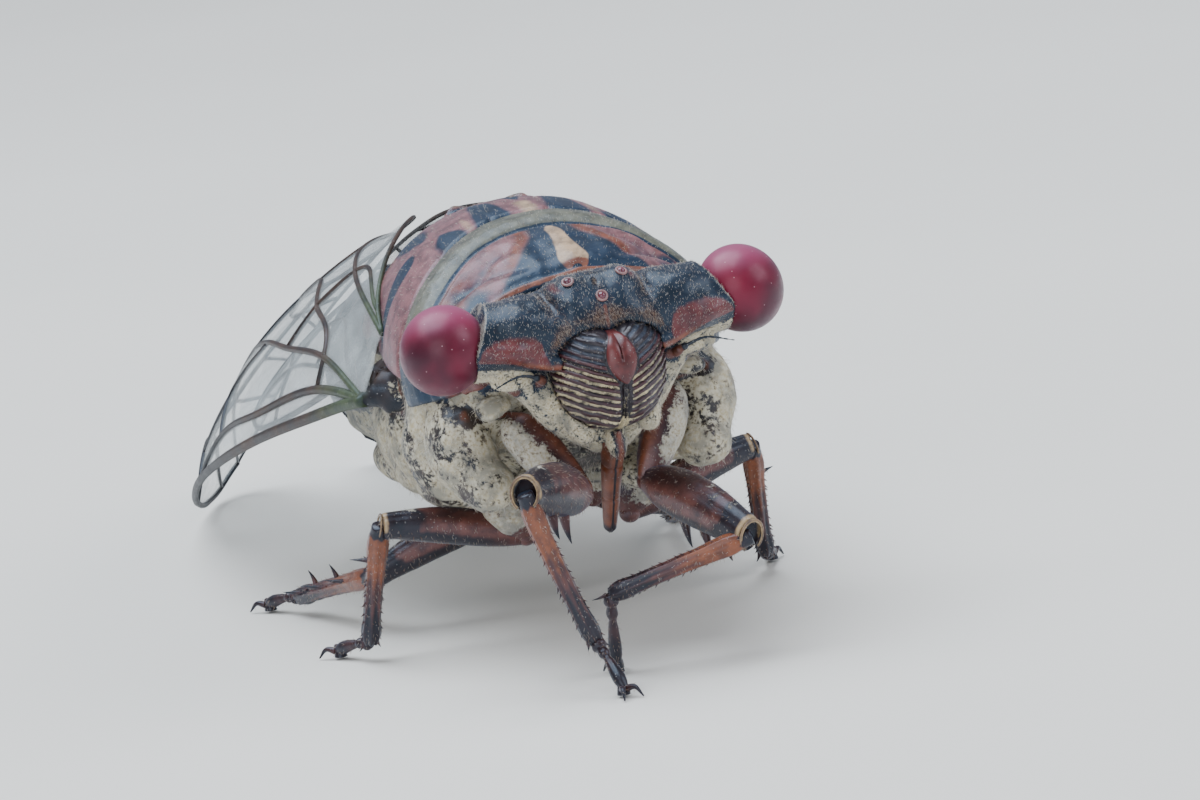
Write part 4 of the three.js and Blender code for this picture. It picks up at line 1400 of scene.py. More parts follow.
@dataclass
class Pronotum:
    """The front shield: black middle with a pale streak, rusty sides and an olive rear collar."""

    rows: int = 190
    columns: int = 250

    @staticmethod
    def fall(reach: Array) -> Array:
        """Returns how far the collar has swung forward at a share of the way round to the side margin."""
        return 1.0 - np.exp(-((reach / 0.45) ** 2))

    def seam(self, reach: Array) -> Array:
        """Returns where the collar starts."""
        return 6.2 - 2.4 * self.fall(reach)

    def rear(self, reach: Array) -> Array:
        """Returns where the collar ends."""
        return 7.45 - 1.95 * self.fall(reach)

    @staticmethod
    def folds(across: Array, y: Array) -> tuple[Array, Array]:
        """Returns how far points lie behind the front fold and behind the hind fold of a side."""
        return y - (2.9 + 0.42 * (across - 1.2)), y - (4.9 - 0.32 * (across - 1.6))

    def relief(self, x: Array, y: Array, reach: Array) -> Array:
        """Returns how far the surface stands over the plain trunk."""
        across = np.abs(x)
        fore, hind = self.folds(across, y)
        past = y - self.seam(reach)
        collar = 0.13 * step(-0.05, 0.5, past) * step(0.0, 0.7, self.rear(reach) - y)
        collar -= 0.1 * bump(past, -0.08, 0.14)
        bead = 0.16 * bump(y, 2.12, 0.13) - 0.1 * bump(y, 2.5, 0.18)
        lift = 0.25 * step(2.1, 3.2, y) * step(6.0, 4.5, y) * step(4.2, 1.5, across)
        inside = step(-0.1, -0.6, past)
        dips = -0.2 * bump(fore, 0.0, 0.38) * step(1.3, 2.2, across)
        dips -= 0.2 * bump(hind, 0.0, 0.4) * step(1.5, 2.2, across)
        middle = 0.08 * bump(across, 0.0, 0.4) - 0.1 * bump(across, 1.0, 0.35) * bump(y, 4.2, 1.2)
        return collar + bead + lift + (dips + middle) * inside

    def build(self) -> Skin:
        """Makes the shield and returns its skin for the hairs."""
        s = np.linspace(0, 1, self.rows)[:, None]
        t = np.linspace(-1, 1, self.columns)[None, :]
        y = (2.0 - 0.25 * t**2) * (1 - s) + self.rear(np.abs(t)) * s
        start = TRUNK.angle_of(y, -1.5 - 1.8 * (y + 1.0) / 8.65)
        angle = math.pi / 2 - t * (math.pi / 2 - start)
        flat = TRUNK.point(y, angle)
        grid = TRUNK.point(y, angle, self.relief(flat[..., 0] - lean(flat[..., 2]), y, np.abs(t)))
        skin = shell(grid, 0.4)
        p = skin.points
        skin.push(0.035 * wobble(p, 0.45, 31, 3) * step(6.1, 5.6, p[:, 1]) + 0.012 * wobble(p, 1.4, 32))
        self.paint(skin)
        make_piece("front_shield", skin, SHIELD_FINISH, ["pronotum"])
        return skin

    def paint(self, skin: Skin) -> None:
        """Paints the shield's markings, and painted shade along the creases of the side folds."""
        x, y, z = skin.points.T
        across = np.abs(x - lean(z))
        reach = reach_of(skin.points)
        past = y - self.seam(reach)
        half = smooth_table(y, [2.0, 2.6, 3.0, 3.5, 4.2, 5.0, 6.0], [3.5, 3.0, 2.6, 2.05, 1.5, 1.0, 0.8])
        core = step(0.35, -0.35, across - half)
        streak_at = [2.4, 2.55, 2.85, 3.4, 4.4, 5.4, 5.7]
        streak_half = smooth_table(y, streak_at, [0.3, 0.46, 0.6, 0.5, 0.32, 0.24, 0.1])
        streak_half -= 0.7 * step(2.85, 2.4, y) * step(0.28, 0.05, across)
        streak = step(0.14, -0.14, across - streak_half) * step(2.4, 2.5, y) * step(5.8, 5.6, y)
        collar = step(-0.06, 0.08, past)
        corner = collar * step(-1.0, -1.6, z)
        low = bump(np.hypot(across - 4.1, (y - 2.7) * 0.8), 0.0, 0.6)
        low += bump(np.hypot(across - 5.6, y - 3.3), 0.0, 0.5)
        # Painted shade: the black mask darkens the creases of the side folds, and low darkens two patches low
        # on each side.
        dips = sum(bump(fold, 0.0, 0.3) for fold in self.folds(across, y))
        folds = 0.42 * dips * step(1.6, 2.6, across) * (1 - collar) + low
        bead = bump(y, 2.08, 0.11) * step(1.0, 1.3, y)
        inner = bump(across - half, 0.35, 0.3) * step(3.0, 3.8, y)
        skin.masks.update(
            pink=(1 - core) * (1 - collar) * (0.8 - 0.25 * step(3.5, 5.5, across)),
            rust=(1 - core) * (1 - collar) * (0.2 + 0.75 * inner + 0.35 * step(3.2, 5.0, across)),
            olive=collar * (1 - corner) * np.clip(0.85 + 0.4 * wobble(skin.points, 0.3, 36, 4), 0.3, 1),
            black=np.clip(core * (1 - collar) + folds + corner + bump(past, -0.02, 0.08), 0, 1) * (1 - bead),
            beige=streak * (1 - 0.5 * step(2.9, 2.6, y)),
            orange=np.clip(bead * step(4.6, 3.8, across) + 0.85 * streak * step(3.0, 2.6, y), 0, 1),
            wax=0.3 * step(-1.8, -2.6, z) * (1 - collar),
        )
        skin.unwrap = body_unwrap(skin.points)


@dataclass
class Mesonotum:
    """The domed middle shield, spotted black with a painted blue sky sheen, with a raised cross before the
    abdomen.
    """

    rows: int = 190
    columns: int = 240

    def cross(self, across: Array, y: Array) -> Array:
        """Returns 1 along the arms of the raised cross."""
        fore = bump(across - 0.95 * (13.55 - y), 0.0, 0.34) * step(11.75, 12.1, y) * step(13.9, 13.5, y)
        hind = bump(across - 1.35 * (y - 13.45), 0.0, 0.34) * step(13.2, 13.6, y) * step(15.3, 14.9, y)
        return np.clip(fore + hind + bump(across, 0.0, 0.45) * bump(y, 13.5, 0.45), 0, 1)

    def relief(self, x: Array, y: Array) -> Array:
        """Returns how far the surface stands over the plain trunk."""
        across = np.abs(x)
        arms = self.cross(across, y)
        pits = -0.4 * bump(across, 0.0, 0.7) * bump(y, 12.5, 0.5)
        pits -= 0.3 * bump(across, 1.7, 0.6) * bump(y, 13.6, 0.5)
        sutures = -0.07 * bump(across - (1.25 + 0.10 * (y - 8.0)), 0.0, 0.1) * step(12.0, 11.0, y)
        sutures += -0.06 * bump(across - (3.6 - 0.12 * (y - 8.0)), 0.0, 0.12) * step(11.8, 10.8, y)
        rim = 0.1 * bump(across, 5.4, 0.5) * step(10.5, 12.5, y)
        return 0.3 * arms + pits * (1 - arms) + sutures + rim

    def build(self) -> Skin:
        """Makes the shield and returns its skin for the hairs."""
        s = np.linspace(0, 1, self.rows)[:, None]
        t = np.linspace(-1, 1, self.columns)[None, :]
        rear = Pronotum().rear(np.abs(t))
        y = (rear - 0.15) * (1 - s) + (15.25 - 1.0 * np.abs(t) ** 2.5) * s
        start = TRUNK.angle_of(y, -1.5 + 0.9 * (y - 7.9) / 10.0)
        angle = math.pi / 2 - t * (math.pi / 2 - start)
        flat = TRUNK.point(y, angle)
        tucked = 0.35 * step(0.55, -0.1, y - rear)
        grid = TRUNK.point(y, angle, self.relief(flat[..., 0], y) - tucked)
        skin = shell(grid, 0.5)
        skin.push(0.02 * wobble(skin.points, 0.4, 41, 3))
        self.paint(skin)
        make_piece("middle_shield", skin, SHIELD_FINISH, ["mesonotum"])
        return skin

    def paint(self, skin: Skin) -> None:
        """Paints the shield's markings."""
        x, y, z = skin.points.T
        across = np.abs(x - lean(z))
        arms = self.cross(np.abs(x), y)
        stripe = step(0.25, -0.25, across - np.interp(y, [9.2, 10.0, 12.2, 13.0], [0.0, 0.3, 0.35, 0.9]))
        marks = stripe * step(12.6, 12.0, y)
        for place, at, half, front, rear in (
            (1.55, [6.8, 7.6, 8.8, 10.4, 10.9], [0.75, 0.8, 0.62, 0.25, 0.0], 5.0, 11.0),
            (3.4 + 0.13 * (y - 7.0), [6.0, 6.4, 7.0, 8.0, 8.7], [0.1, 0.5, 0.62, 0.5, 0.0], 5.0, 8.9),
            (4.1, [9.4, 10.4, 11.8, 13.2], [0.1, 0.5, 0.5, 0.1], 9.3, 13.3),
        ):
            wedge = step(0.3, -0.3, np.abs(across - place) - smooth_table(y, at, half))
            marks += wedge * step(front, front + 0.2, y) * step(rear, rear - 0.2, y)
        marks += step(0.6, 0.42, np.hypot(across - 1.75, y - 12.0))
        marks += step(0.85, 0.6, np.hypot(across - 5.4, y - 9.0))
        marks += bump(across, 0.0, 1.4) * step(12.2, 12.7, y) * step(15.0, 13.2, y)
        pale = 0.7 * bump(across, 0.0, 0.5) * step(9.6, 8.6, y)
        pale += 0.5 * bump(across, 2.6, 0.3) * bump(y, 8.0, 1.5)
        skin.masks.update(
            pink=0.8 * (1 - 0.35 * step(12.0, 13.5, y)),
            rust=0.5 * step(10.5, 12.5, y),
            olive=0.6 * arms,
            black=np.clip(marks * (1 - 0.9 * arms), 0, 1),
            beige=pale,
            orange=0.4 * step(-0.3, -1.0, z) * step(9.0, 11.0, y),
            wax=0.7 * step(0.6, -0.8, z) * step(10.5, 12.5, y) + 0.8 * step(14.4, 15.1, y),
        )
        skin.unwrap = body_unwrap(skin.points)


@dataclass
class Underside:
    """The waxed sides and underside of the thorax, lumpy around the roots of legs and wings."""

    pitch: float = 0.11
    lumps: tuple[tuple[Point, Point], ...] = (
        ((5.0, 3.9, -4.6), (1.35, 1.7, 1.9)),
        ((4.5, 2.8, -6.2), (1.1, 1.3, 1.0)),
        ((5.1, 6.7, -4.9), (1.45, 1.4, 2.1)),
        ((4.6, 7.4, -6.7), (1.35, 1.6, 0.95)),
        ((4.95, 9.7, -4.9), (1.35, 1.6, 2.1)),
        ((4.4, 11.0, -6.7), (1.4, 1.7, 1.0)),
        ((4.8, 13.2, -5.2), (1.0, 1.8, 1.8)),
        ((2.0, 4.0, -6.9), (1.2, 1.6, 0.8)),
        ((1.9, 8.9, -7.5), (1.5, 1.8, 0.7)),
        ((1.9, 13.0, -7.4), (1.6, 1.7, 0.7)),
    )
    creases: tuple[tuple[Point, Point], ...] = (
        ((6.4, 5.25, -2.6), (3.0, 5.5, -7.6)),
        ((6.4, 8.3, -3.0), (3.4, 9.3, -8.0)),
        ((6.2, 11.6, -3.2), (3.4, 12.2, -8.0)),
        ((0.0, 2.0, -5.2), (0.0, 15.0, -8.05)),
    )

    def build(self) -> Skin:
        """Makes the underside and returns its skin for the hairs."""
        clay = Clay((-7.3, 0.8, -8.7), (7.3, 15.9, 0.4), self.pitch)
        x, y, z = clay.p
        half, top, level, bottom = TRUNK.at(y)
        rise = np.where(z > level, top - level, level - bottom)
        wide, tall = half - 0.42, rise - 0.4
        near = np.sqrt((x / wide) ** 2 + ((z - level) / tall) ** 2)
        body = (near - 1.0) * np.minimum(wide, tall)
        body = np.maximum(np.maximum(body, 1.75 - y), y - 15.35)
        clay.join(body, 0.01)
        side = [np.abs(x), y, z]
        for centre, radii in self.lumps:
            clay.join(ball_distance(side, centre, radii), 0.6)
        clay.join(ball_distance(side, (4.1, 1.75, -2.95), (0.74, 0.66, 0.42), 0.0, -0.2), 0.1)
        clay.carve(ball_distance(side, (5.0, 1.9, -3.2), (0.26, 0.5, 0.3)), 0.1)
        clay.carve(rod_distance(side, (4.7, 1.7, -3.55), (3.3, 1.6, -3.45), 0.1, 0.08), 0.12)
        for a, b in self.creases:
            clay.carve(rod_distance(side, a, b, 0.14, 0.12), 0.2)
        clay.far = np.maximum(clay.far, z - np.interp(y, [1.5, 7.6, 8.2, 15.5], [-0.9, -2.2, -0.9, -0.4]))
        skin = clay.fired()
        p = skin.points
        skin.push(0.12 * wobble(p, 0.3, 51, 5) + 0.03 * wobble(p, 1.1, 52))
        across = np.abs(p[:, 0])
        hole = bump(np.hypot(across - 5.0, p[:, 2] + 3.2), 0.0, 0.3)
        hole += bump(p[:, 2], -3.5, 0.1) * bump(across, 4.0, 0.7)
        hole *= step(3.4, 2.6, p[:, 1])
        roots = bump(np.hypot(p[:, 1] - 8.8, (p[:, 2] + 2.8) * 1.2), 0.0, 1.3) * step(4.8, 5.8, across)
        cheek = step(2.6, 2.0, p[:, 1]) * step(-2.6, -1.9, p[:, 2])
        # Painted shade: crease takes wax away where the surface dips, so the dents read darker.
        crease = np.clip(wobble(p, 0.3, 51, 5) * -0.28, 0, 0.22)
        skin.masks.update(
            brown=np.clip(roots + 0.7 * hole + 0.5 * bump(across, 3.4, 0.4) * step(3.2, 2.2, p[:, 1]), 0, 1),
            blue=0.8 * step(-3.0, -2.5, p[:, 2]) * step(7.8, 7.0, p[:, 1]) + cheek,
            wax=np.clip(1.0 - 0.8 * roots - cheek - crease - hole - 0.25 * step(2.5, 0.5, across), 0, 1),
        )
        skin.unwrap = body_unwrap(p)
        make_piece("thorax_underside", skin, WAXED_FINISH, ["thorax"])
        return skin


@dataclass
class Abdomen:
    """The ringed abdomen, waxed below, and the two plates that cover its drums."""

    rings: int = 9
    columns: int = 150
    front: float = 15.45
    last_ring: float = 31.6
    rear: float = 34.15

    def build(self) -> None:
        """Makes the abdomen and its plates."""
        y = np.linspace(self.front, self.rear, 300)[:, None]
        angle = np.linspace(-math.pi / 2, 1.5 * math.pi, self.columns, endpoint=False)[None, :]
        place = (y - self.front) / (self.last_ring - self.front) * (self.rings - 1)
        share = np.where(place < self.rings - 1, place % 1.0, 0.6)
        lap = 0.2 * (share - 0.5) - 0.22 * bump(share, 0.0, 0.05) - 0.1 * bump(share, 1.0, 0.03)
        fold = -0.25 * (bump(angle, -0.45, 0.1) + bump(angle, math.pi + 0.45, 0.1)) * step(31.0, 28.0, y)
        skin = rings_skin(ABDOMEN.point(y, angle, (lap + fold) * step(34.4, 32.5, y) - 0.12))
        x, y, z = skin.points.T
        skin.push(0.02 * wobble(skin.points, 0.4, 61))
        hind = step(0.78, 0.95, np.append(np.repeat(share.ravel(), self.columns), [0, 0]))
        below = step(-4.0, -5.2, z + 0.12 * (y - 16.0))
        bloom = 0.95 * below + 0.5 * bump(y, 16.2, 0.8) - 0.3 * bump(np.abs(x), 0.0, 0.8)
        skin.masks.update(
            rust=np.clip(0.8 * hind * (1 - below) + 0.4 * below, 0, 1),
            wax=np.clip(bloom, 0, 1),
        )
        make_piece("abdomen_skin", skin, ABDOMEN_FINISH, ["abdomen", "abdomen_tip"])
        clay = Clay((0.3, 12.9, -9.4), (5.4, 20.9, -5.6), 0.12)
        clay.join(ball_distance(clay.p, (2.75, 16.8, -7.2), (2.25, 3.5, 1.15), 0.04), 0.01)
        clay.carve(ball_distance(clay.p, (2.7, 16.9, -5.9), (2.2, 3.6, 1.5)), 0.1)
        plate = clay.fired()
        plate.push(0.03 * wobble(plate.points, 0.4, 71))
        plate.masks.update(wax=plate.even(0.85), brown=0.4 * step(18.5, 19.8, plate.points[:, 1]))
        for name, side in SIDES:
            drum = plate.on_side(side)
            make_piece(f"drum_cover_{name}", drum, WAXED_FINISH, ["operculum_" + name])


# Legs


def bowed(a: Point, b: Point, bow: Point, share: Array | float) -> Array:
    """Returns the points at a share of the way from a to b, on a line with its middle bowed aside."""
    return np.array(a) + np.subtract(b, a) * share + np.array(bow) * (4 * share * (1 - share))


@dataclass
class Leg:
    """One leg: its hip piece, thigh, shin, foot and claws."""

    name: str
    hip: Point
    trochanter: Point
    knee: Point
    ankle: Point
    toe: Point
    hip_radius: float
    thigh_radius: float
    shin_radius: float
    spines: int = 0
    spurs: int = 0
    number: int = 0

    def part(
        self, a: Point, b: Point, profile: dict[float, float], bow: Point, sides: int, **shape: float
    ) -> Skin:
        """Makes one segment.

        Args:
            a: Its near end.
            b: Its far end.
            profile: Its radius by share of its length.
            bow: How far its middle is bowed aside.
            sides: How many sides it has.
            shape: Further shape of its section.

        Returns:
            The segment's skin.
        """
        share = np.linspace(0, 1, 64)
        radius = smooth_table(share, list(profile), list(profile.values()))
        skin = tube(bowed(a, b, bow, share[:, None]), np.maximum(radius, 0.02), sides, **shape)
        for mask in ("dark", "amber", "pale", "rose", "wax"):
            skin.masks[mask] = skin.even(0.0)
        return skin

    def thorn(self, root: Array, tip: Array, radius: float, dark: float = 0.8) -> Skin:
        """Returns a slightly curved spine."""
        sag = (tip - root)[[1, 0, 2]] * 0.08
        line = np.linspace(root, tip, 9) + sag * np.sin(np.linspace(0, math.pi, 9))[:, None]
        skin = tube(line, radius * np.array([1, 0.9, 0.78, 0.66, 0.54, 0.42, 0.3, 0.18, 0.06]), 8)
        skin.masks["dark"] = dark * step(0.2, 0.8, skin.masks["along"])
        return skin

    def hip_piece(self) -> Skin:
        """Returns the hip piece and the small ring that carries the thigh."""
        r, slim = self.hip_radius, min(self.hip_radius, 0.85)
        profile = {0: r * 0.3, 0.08: r * 0.68, 0.3: r, 0.7: r * 0.85, 1: slim * 0.5}
        coxa = self.part(self.hip, self.trochanter, profile, (0, -0.1, 0), 30)
        strength = 1.0 if self.hip[1] < 5 else 0.4
        ridge, horn = (bump(coxa.masks["turn"], 0.25, width) * strength for width in (0.055, 0.1))
        coxa.push(0.12 * ridge + 0.05 * wobble(coxa.points, 0.5, 81))
        far_end = step(0.7, 1.0, coxa.masks["along"])
        coxa.masks.update(
            wax=np.clip(1.0 - 1.2 * horn - 0.6 * far_end, 0, 1),
            rose=np.clip(0.9 * horn + 0.6 * far_end, 0, 1),
            amber=0.5 * horn,
        )
        small = slim * 0.52
        ring = full_globe(self.trochanter, (small, small, small * 0.95), 24)
        ring.masks.update(rose=ring.even(0.6), dark=ring.even(0.2))
        ring.unwrap = np.zeros((len(ring.points), 2))
        return joined([coxa, ring])

    def thigh(self) -> Skin:
        """Returns the thigh with its spines and the pale hood over the knee."""
        r = self.thigh_radius
        sizes = {0: 0.5, 0.12: 0.78, 0.4: 1.0, 0.72: 0.9, 0.9: 0.74, 0.97: 0.7, 1: 0.62}
        profile = {share: r * size for share, size in sizes.items()}
        femur = self.part(self.trochanter, self.knee, profile, (0, 0, 0.25), 36, flat=0.82, keel=0.08)
        along, turn = femur.masks["along"], femur.masks["turn"]
        belly = step(0.52, 0.62, turn) * step(0.98, 0.88, turn)
        grooves = -0.05 * bump(turn, 0.12, 0.03) - 0.05 * bump(turn, 0.38, 0.03)
        femur.push(grooves + 0.02 * wobble(femur.points, 0.6, 83))
        panel = bump(turn, 0.0, 0.08) + bump(turn, 1.0, 0.08) + bump(turn, 0.5, 0.08)
        blotch = step(0.4, 0.85, along) * np.clip(0.55 + 0.9 * wobble(femur.points, 0.7, 85, 3), 0, 1)
        shade_below = 0.8 * belly * step(0.1, 0.3, along)
        femur.masks.update(
            dark=np.clip(shade_below + blotch + 0.8 * bump(along, 0.9, 0.08), 0, 1),
            rose=np.clip(panel + 0.6 * bump(turn, 0.75, 0.04), 0, 1) * step(0.9, 0.8, along),
            wax=0.62 * bump(turn, 0.25, 0.14) * step(0.95, 0.8, along) + 0.25 * blotch * (1 - belly),
            pale=0.9 * step(0.93, 0.97, along) * (1 - belly),
        )
        hollow = along > 0.999
        femur.points[hollow] = femur.points[hollow] * 0.94 + np.array(self.trochanter) * 0.06
        femur.masks["pale"][hollow] = 0
        femur.masks["dark"][hollow] = 1
        parts = [femur]
        a, b = np.array(self.trochanter), np.array(self.knee)
        ahead = unit(b - a)
        side = unit(np.cross([0, 0, 1], ahead))
        up = np.cross(ahead, side)
        angle = np.linspace(-0.3 * math.pi, 1.3 * math.pi, 60)[:, None]
        for outward, width, tone in ((0.67, 0.042, 0.5), (0.6, 0.034, 0.75)):
            rim = b + ahead * 0.02 + (side * np.cos(angle) * 0.84 + up * np.sin(angle)) * r * outward
            hood = tube(rim, width * np.sin(np.linspace(0.2, math.pi - 0.2, 60)) ** 0.3, 10)
            hood.masks["pale"] = hood.even(tone)
            parts.append(hood)
        for i in range(self.spines):
            root = a + (b - a) * (0.36 + 0.2 * i) - up * r * 0.7
            parts.append(self.thorn(root, root + np.array([0, -0.45, -1.15 + 0.18 * i]), 0.24))
        return joined(parts)

    def shin(self) -> Skin:
        """Returns the shin with its ribs, fine teeth and spurs."""
        r = self.shin_radius
        sizes = {0: 0.75, 0.05: 0.8, 0.1: 0.92, 0.35: 0.84, 0.8: 0.8, 0.95: 0.84, 1: 0.62}
        profile = {share: r * size for share, size in sizes.items()}
        outward = np.sign(self.ankle[0])
        bow = (0, 0.15, 0) if self.spurs else (0.12 * outward, 0, 0)
        tibia = self.part(self.knee, self.ankle, profile, bow, 40, flat=0.94)
        along, turn = tibia.masks["along"], tibia.masks["turn"]
        ribs = np.cos(turn * 2 * math.pi * 7)
        tibia.push(0.03 * ribs * step(0.06, 0.15, along) + 0.015 * wobble(tibia.points, 1.2, 84))
        near, far = step(0.7, 0.2, along) * step(0.04, 0.1, along), step(0.4, 0.9, along)
        tibia.masks.update(
            amber=np.clip(0.95 * near + 0.2 * ribs, 0, 1),
            dark=np.clip(0.85 * far + step(0.1, 0.05, along) - 0.25 * ribs, 0, 1),
            rose=0.4 * step(0.3, 0.8, along),
        )
        parts = [tibia]
        a, b = np.array(self.knee), np.array(self.ankle)
        rng = np.random.default_rng(90 + self.number)
        ahead = unit(b - a)
        for row in (-1, 1):
            for share in np.linspace(0.22, 0.95, 15):
                out = unit(np.cross(ahead, [0, 1, 0.2]) * row + rng.normal(0, 0.15, 3))
                root = bowed(a, b, bow, share) + out * r * 0.75
                parts.append(self.thorn(root, root + out * 0.14 + ahead * 0.16, 0.045, 0.3))
        for i in range(self.spurs):
            root = a + (b - a) * (0.3 + 0.14 * i) + np.array(bow) * 0.9
            way = [outward * 0.25, 0.25, 0.9] if i % 2 else [outward * 0.95, 0.4, 0.2]
            parts.append(self.thorn(root, root + np.array(way), 0.17))
        for turn_to in (-1, 0, 1):
            root = b - ahead * 0.1 + np.array([0.25 * turn_to, 0.1, 0])
            parts.append(self.thorn(root, root + ahead * 0.4 + np.array([0.2 * turn_to, -0.08, 0]), 0.09))
        return joined(parts)

    def foot(self) -> Skin:
        """Returns the three-jointed foot with its two claws."""
        near = {0: 0.2, 0.03: 0.24, 0.14: 0.27, 0.17: 0.19, 0.2: 0.2, 0.32: 0.22, 0.36: 0.17}
        tarsus = self.part(self.ankle, self.toe, {**near, 0.5: 0.2, 0.9: 0.23, 1: 0.15}, (0, 0, 0.1), 24)
        tarsus.masks["dark"] = 0.55 + 0.4 * step(0.5, 1.0, tarsus.masks["along"])
        parts = [tarsus]
        toe = np.array(self.toe)
        level = unit((toe - self.ankle) * [1, 1, 0])
        side = np.array([level[1], -level[0], 0])
        for turn in (-1, 1):
            a, b = toe + side * 0.1 * turn, toe + level * 0.72 + side * 0.4 * turn
            b[2] = FLOOR + 0.08
            line = smooth_path([a, (a + b) / 2 + [0, 0, 0.22], b], 14)
            claw = tube(line, np.linspace(0.15, 0.03, 14), 10)
            claw.masks["dark"] = 0.4 + 0.6 * claw.masks["along"]
            parts.append(claw)
        sole = bowed(self.ankle, self.toe, (0, 0, 0), 0.92)
        pad = tube(np.linspace(sole, [sole[0], sole[1], FLOOR + 0.12], 8), np.linspace(0.2, 0.27, 8), 16)
        pad.masks["dark"] = pad.even(0.9)
        parts.append(pad)
        skin = joined(parts)
        skin.points[:, 2] = np.maximum(skin.points[:, 2], FLOOR + 0.01)
        return skin

    def build(self) -> Skin:
        """Makes the leg and returns its skin for the hairs."""
        parts = [self.hip_piece(), self.thigh(), self.shin(), self.foot()]
        for k, part in enumerate(parts):
            part.unwrap = (part.unwrap * 0.9 + [k + 0.05, self.number + 0.05]) / [4.0, 6.0]
        skin = joined(parts)
        nodes = [f"{segment}_{self.name}" for segment in ("coxa", "femur", "tibia", "tarsus")]
        make_piece(f"leg_{self.name}", skin, LEG_FINISH, nodes)
        return skin


def six_legs() -> list[Leg]:
    """Returns the legs in their places."""
    right = ((-3.5, 2.3, -3.6), (-1.35, 0.75, -6.9), (-5.2, -4.6, -5.25), (-3.15, -4.0, -11.6))
    left = ((3.5, 2.3, -3.6), (1.35, 0.75, -6.9), (3.3, -5.0, -8.65), (-2.0, -3.0, -10.15))
    middle = ((3.1, 7.0, -7.0), (2.2, 6.5, -9.2), (7.9, 7.1, -7.7), (8.5, 9.2, -12.7), (9.4, 11.2, -13.15))
    hind = ((3.0, 11.4, -7.0), (2.3, 11.5, -9.3), (6.9, 13.0, -10.9), (8.3, 20.6, -12.7), (9.2, 22.6, -13.15))
    legs = [
        Leg("front_right", *right, (-2.9, -5.9, -13.15), 0.85, 1.0, 0.43, spines=3, number=0),
        Leg("front_left", *left, (-1.9, -2.0, -13.15), 0.85, 1.0, 0.43, spines=3, number=1),
    ]
    for name, side in SIDES:
        for pair, joints, thigh, spurs in (("middle", middle, 0.72, 2), ("hind", hind, 0.7, 5)):
            placed = [(side * x, y, z) for x, y, z in joints]
            legs.append(Leg(f"{pair}_{name}", *placed, 1.15, thigh, 0.45, spurs=spurs, number=len(legs)))
    return legs


# Wings


@dataclass
class Roof:
    """How a flat wing is laid like a roof over the body."""

    length: float = 42.0
    steep: float = math.radians(72)
    shallow: float = math.radians(5)
    width: float = 13.0
    root: Point = (7.2, 9.0, -3.0)
    tip_across: float = 5.4
    bulge: float = 2.85
    stretch: float = 0.955
    drop: float = 13.0
    droop: float = 1.35

    def lay(self, u: Array, v: Array, depth: Array | float = 0.0) -> Array:
        """Lays points of a flat wing on the left side of the body.

        Args:
            u: How far along the wing they lie.
            v: How far behind its leading edge.
            depth: How far below its middle surface.

        Returns:
            The points.
        """
        s = np.asarray(u) / self.length
        x = self.root[0] + (self.tip_across - self.root[0]) * s
        x = x + self.bulge * np.sin(math.pi * np.minimum(1, s))
        y = self.root[1] + np.asarray(u) * self.stretch
        z = self.root[2] - self.drop * np.maximum(0, s) ** self.droop
        turn = (self.steep - self.shallow) / self.width
        slope = self.steep - turn * np.asarray(v)
        inward = (math.sin(self.steep) - np.sin(slope)) / turn + depth * np.sin(slope)
        rise = (np.cos(slope) - math.cos(self.steep)) / turn - depth * np.cos(slope)
        return np.stack(np.broadcast_arrays(x - inward, y, z + rise), axis=-1)


FOREWING_JOINTS = """root 0 0 c1 5 -.35 c2 12 -.4 c3 19 -.25 node 24 0 c4 29 .3 c5 34 .8 c6 38.5 1.8 c7 41 3.1
tip 42 4.6 o1 41.3 6.3 o2 39 7.7 o3 35.8 9.1 o4 32 10.3 o5 28 11.3 o6 24 12 o7 20.2 12.2 anal 16.6 12.1
i1 11.4 11.3 i2 7.2 8.9 i3 3.8 6 i4 1.4 3.8 hinge 0 2.8 r1 5 .75 r2 12 .75 r3 19 .95 b1 5.2 2.1 m1 11 3.4
m2 16.2 4.7 cu1 9.9 5.2 cu2 15.4 7.9 a1 7.6 6.5 a2 13.4 9.8 p1 20.5 3 p2 21.8 5.6 p3 20.2 8.2 q0 25.5 1.5
q1 29.5 3 q2 30.8 5.2 q3 29.6 7.2 q4 26.4 9.2 q5 22.8 10.6"""
FOREWING_VEINS = (
    ("root c1 c2 c3 node c4 c5 c6 c7 tip", 0.26, 0.11),
    ("tip o1 o2 o3 o4 o5 o6 o7 anal i1 i2 i3 i4 hinge", 0.07, 0.1),
    ("root r1 r2 r3 node", 0.21, 0.12),
    ("root b1 m1 m2 p2 q2 o2", 0.16, 0.08),
    ("r1 b1 cu1 cu2 p3 q4 o5", 0.14, 0.08),
    ("hinge a1 a2 anal", 0.14, 0.09),
    ("m1 cu1", 0.11, 0.11),
    ("cu1 a1 i4", 0.12, 0.1),
    ("a2 cu2", 0.09, 0.09),
    ("r3 p1 m2", 0.11, 0.09),
    ("node q0 q1 c7", 0.14, 0.08),
    ("p1 q0", 0.1, 0.1),
    ("p2 p3", 0.09, 0.09),
    ("p3 q5 o7", 0.1, 0.08),
    ("q1 c5", 0.09, 0.09),
    ("q1 q2 q3 q4 q5 o6", 0.1, 0.08),
    ("q2 tip", 0.08, 0.07),
    ("q3 o3", 0.08, 0.07),
    ("q4 o4", 0.08, 0.07),
)
HINDWING_JOINTS = """root 5.5 1.7 c1 10 1.1 c2 15 1.1 c3 19.5 1.9 c4 22.5 3.6 tip 23.4 5.6 o1 21.6 7.6
o2 18.6 9 o3 15 9.6 o4 11.5 8.8 o5 8.4 7 hinge 5.8 4.2 m1 11 3.2 m2 16.2 4.2 m3 15.4 6.4 m4 11 5.8"""
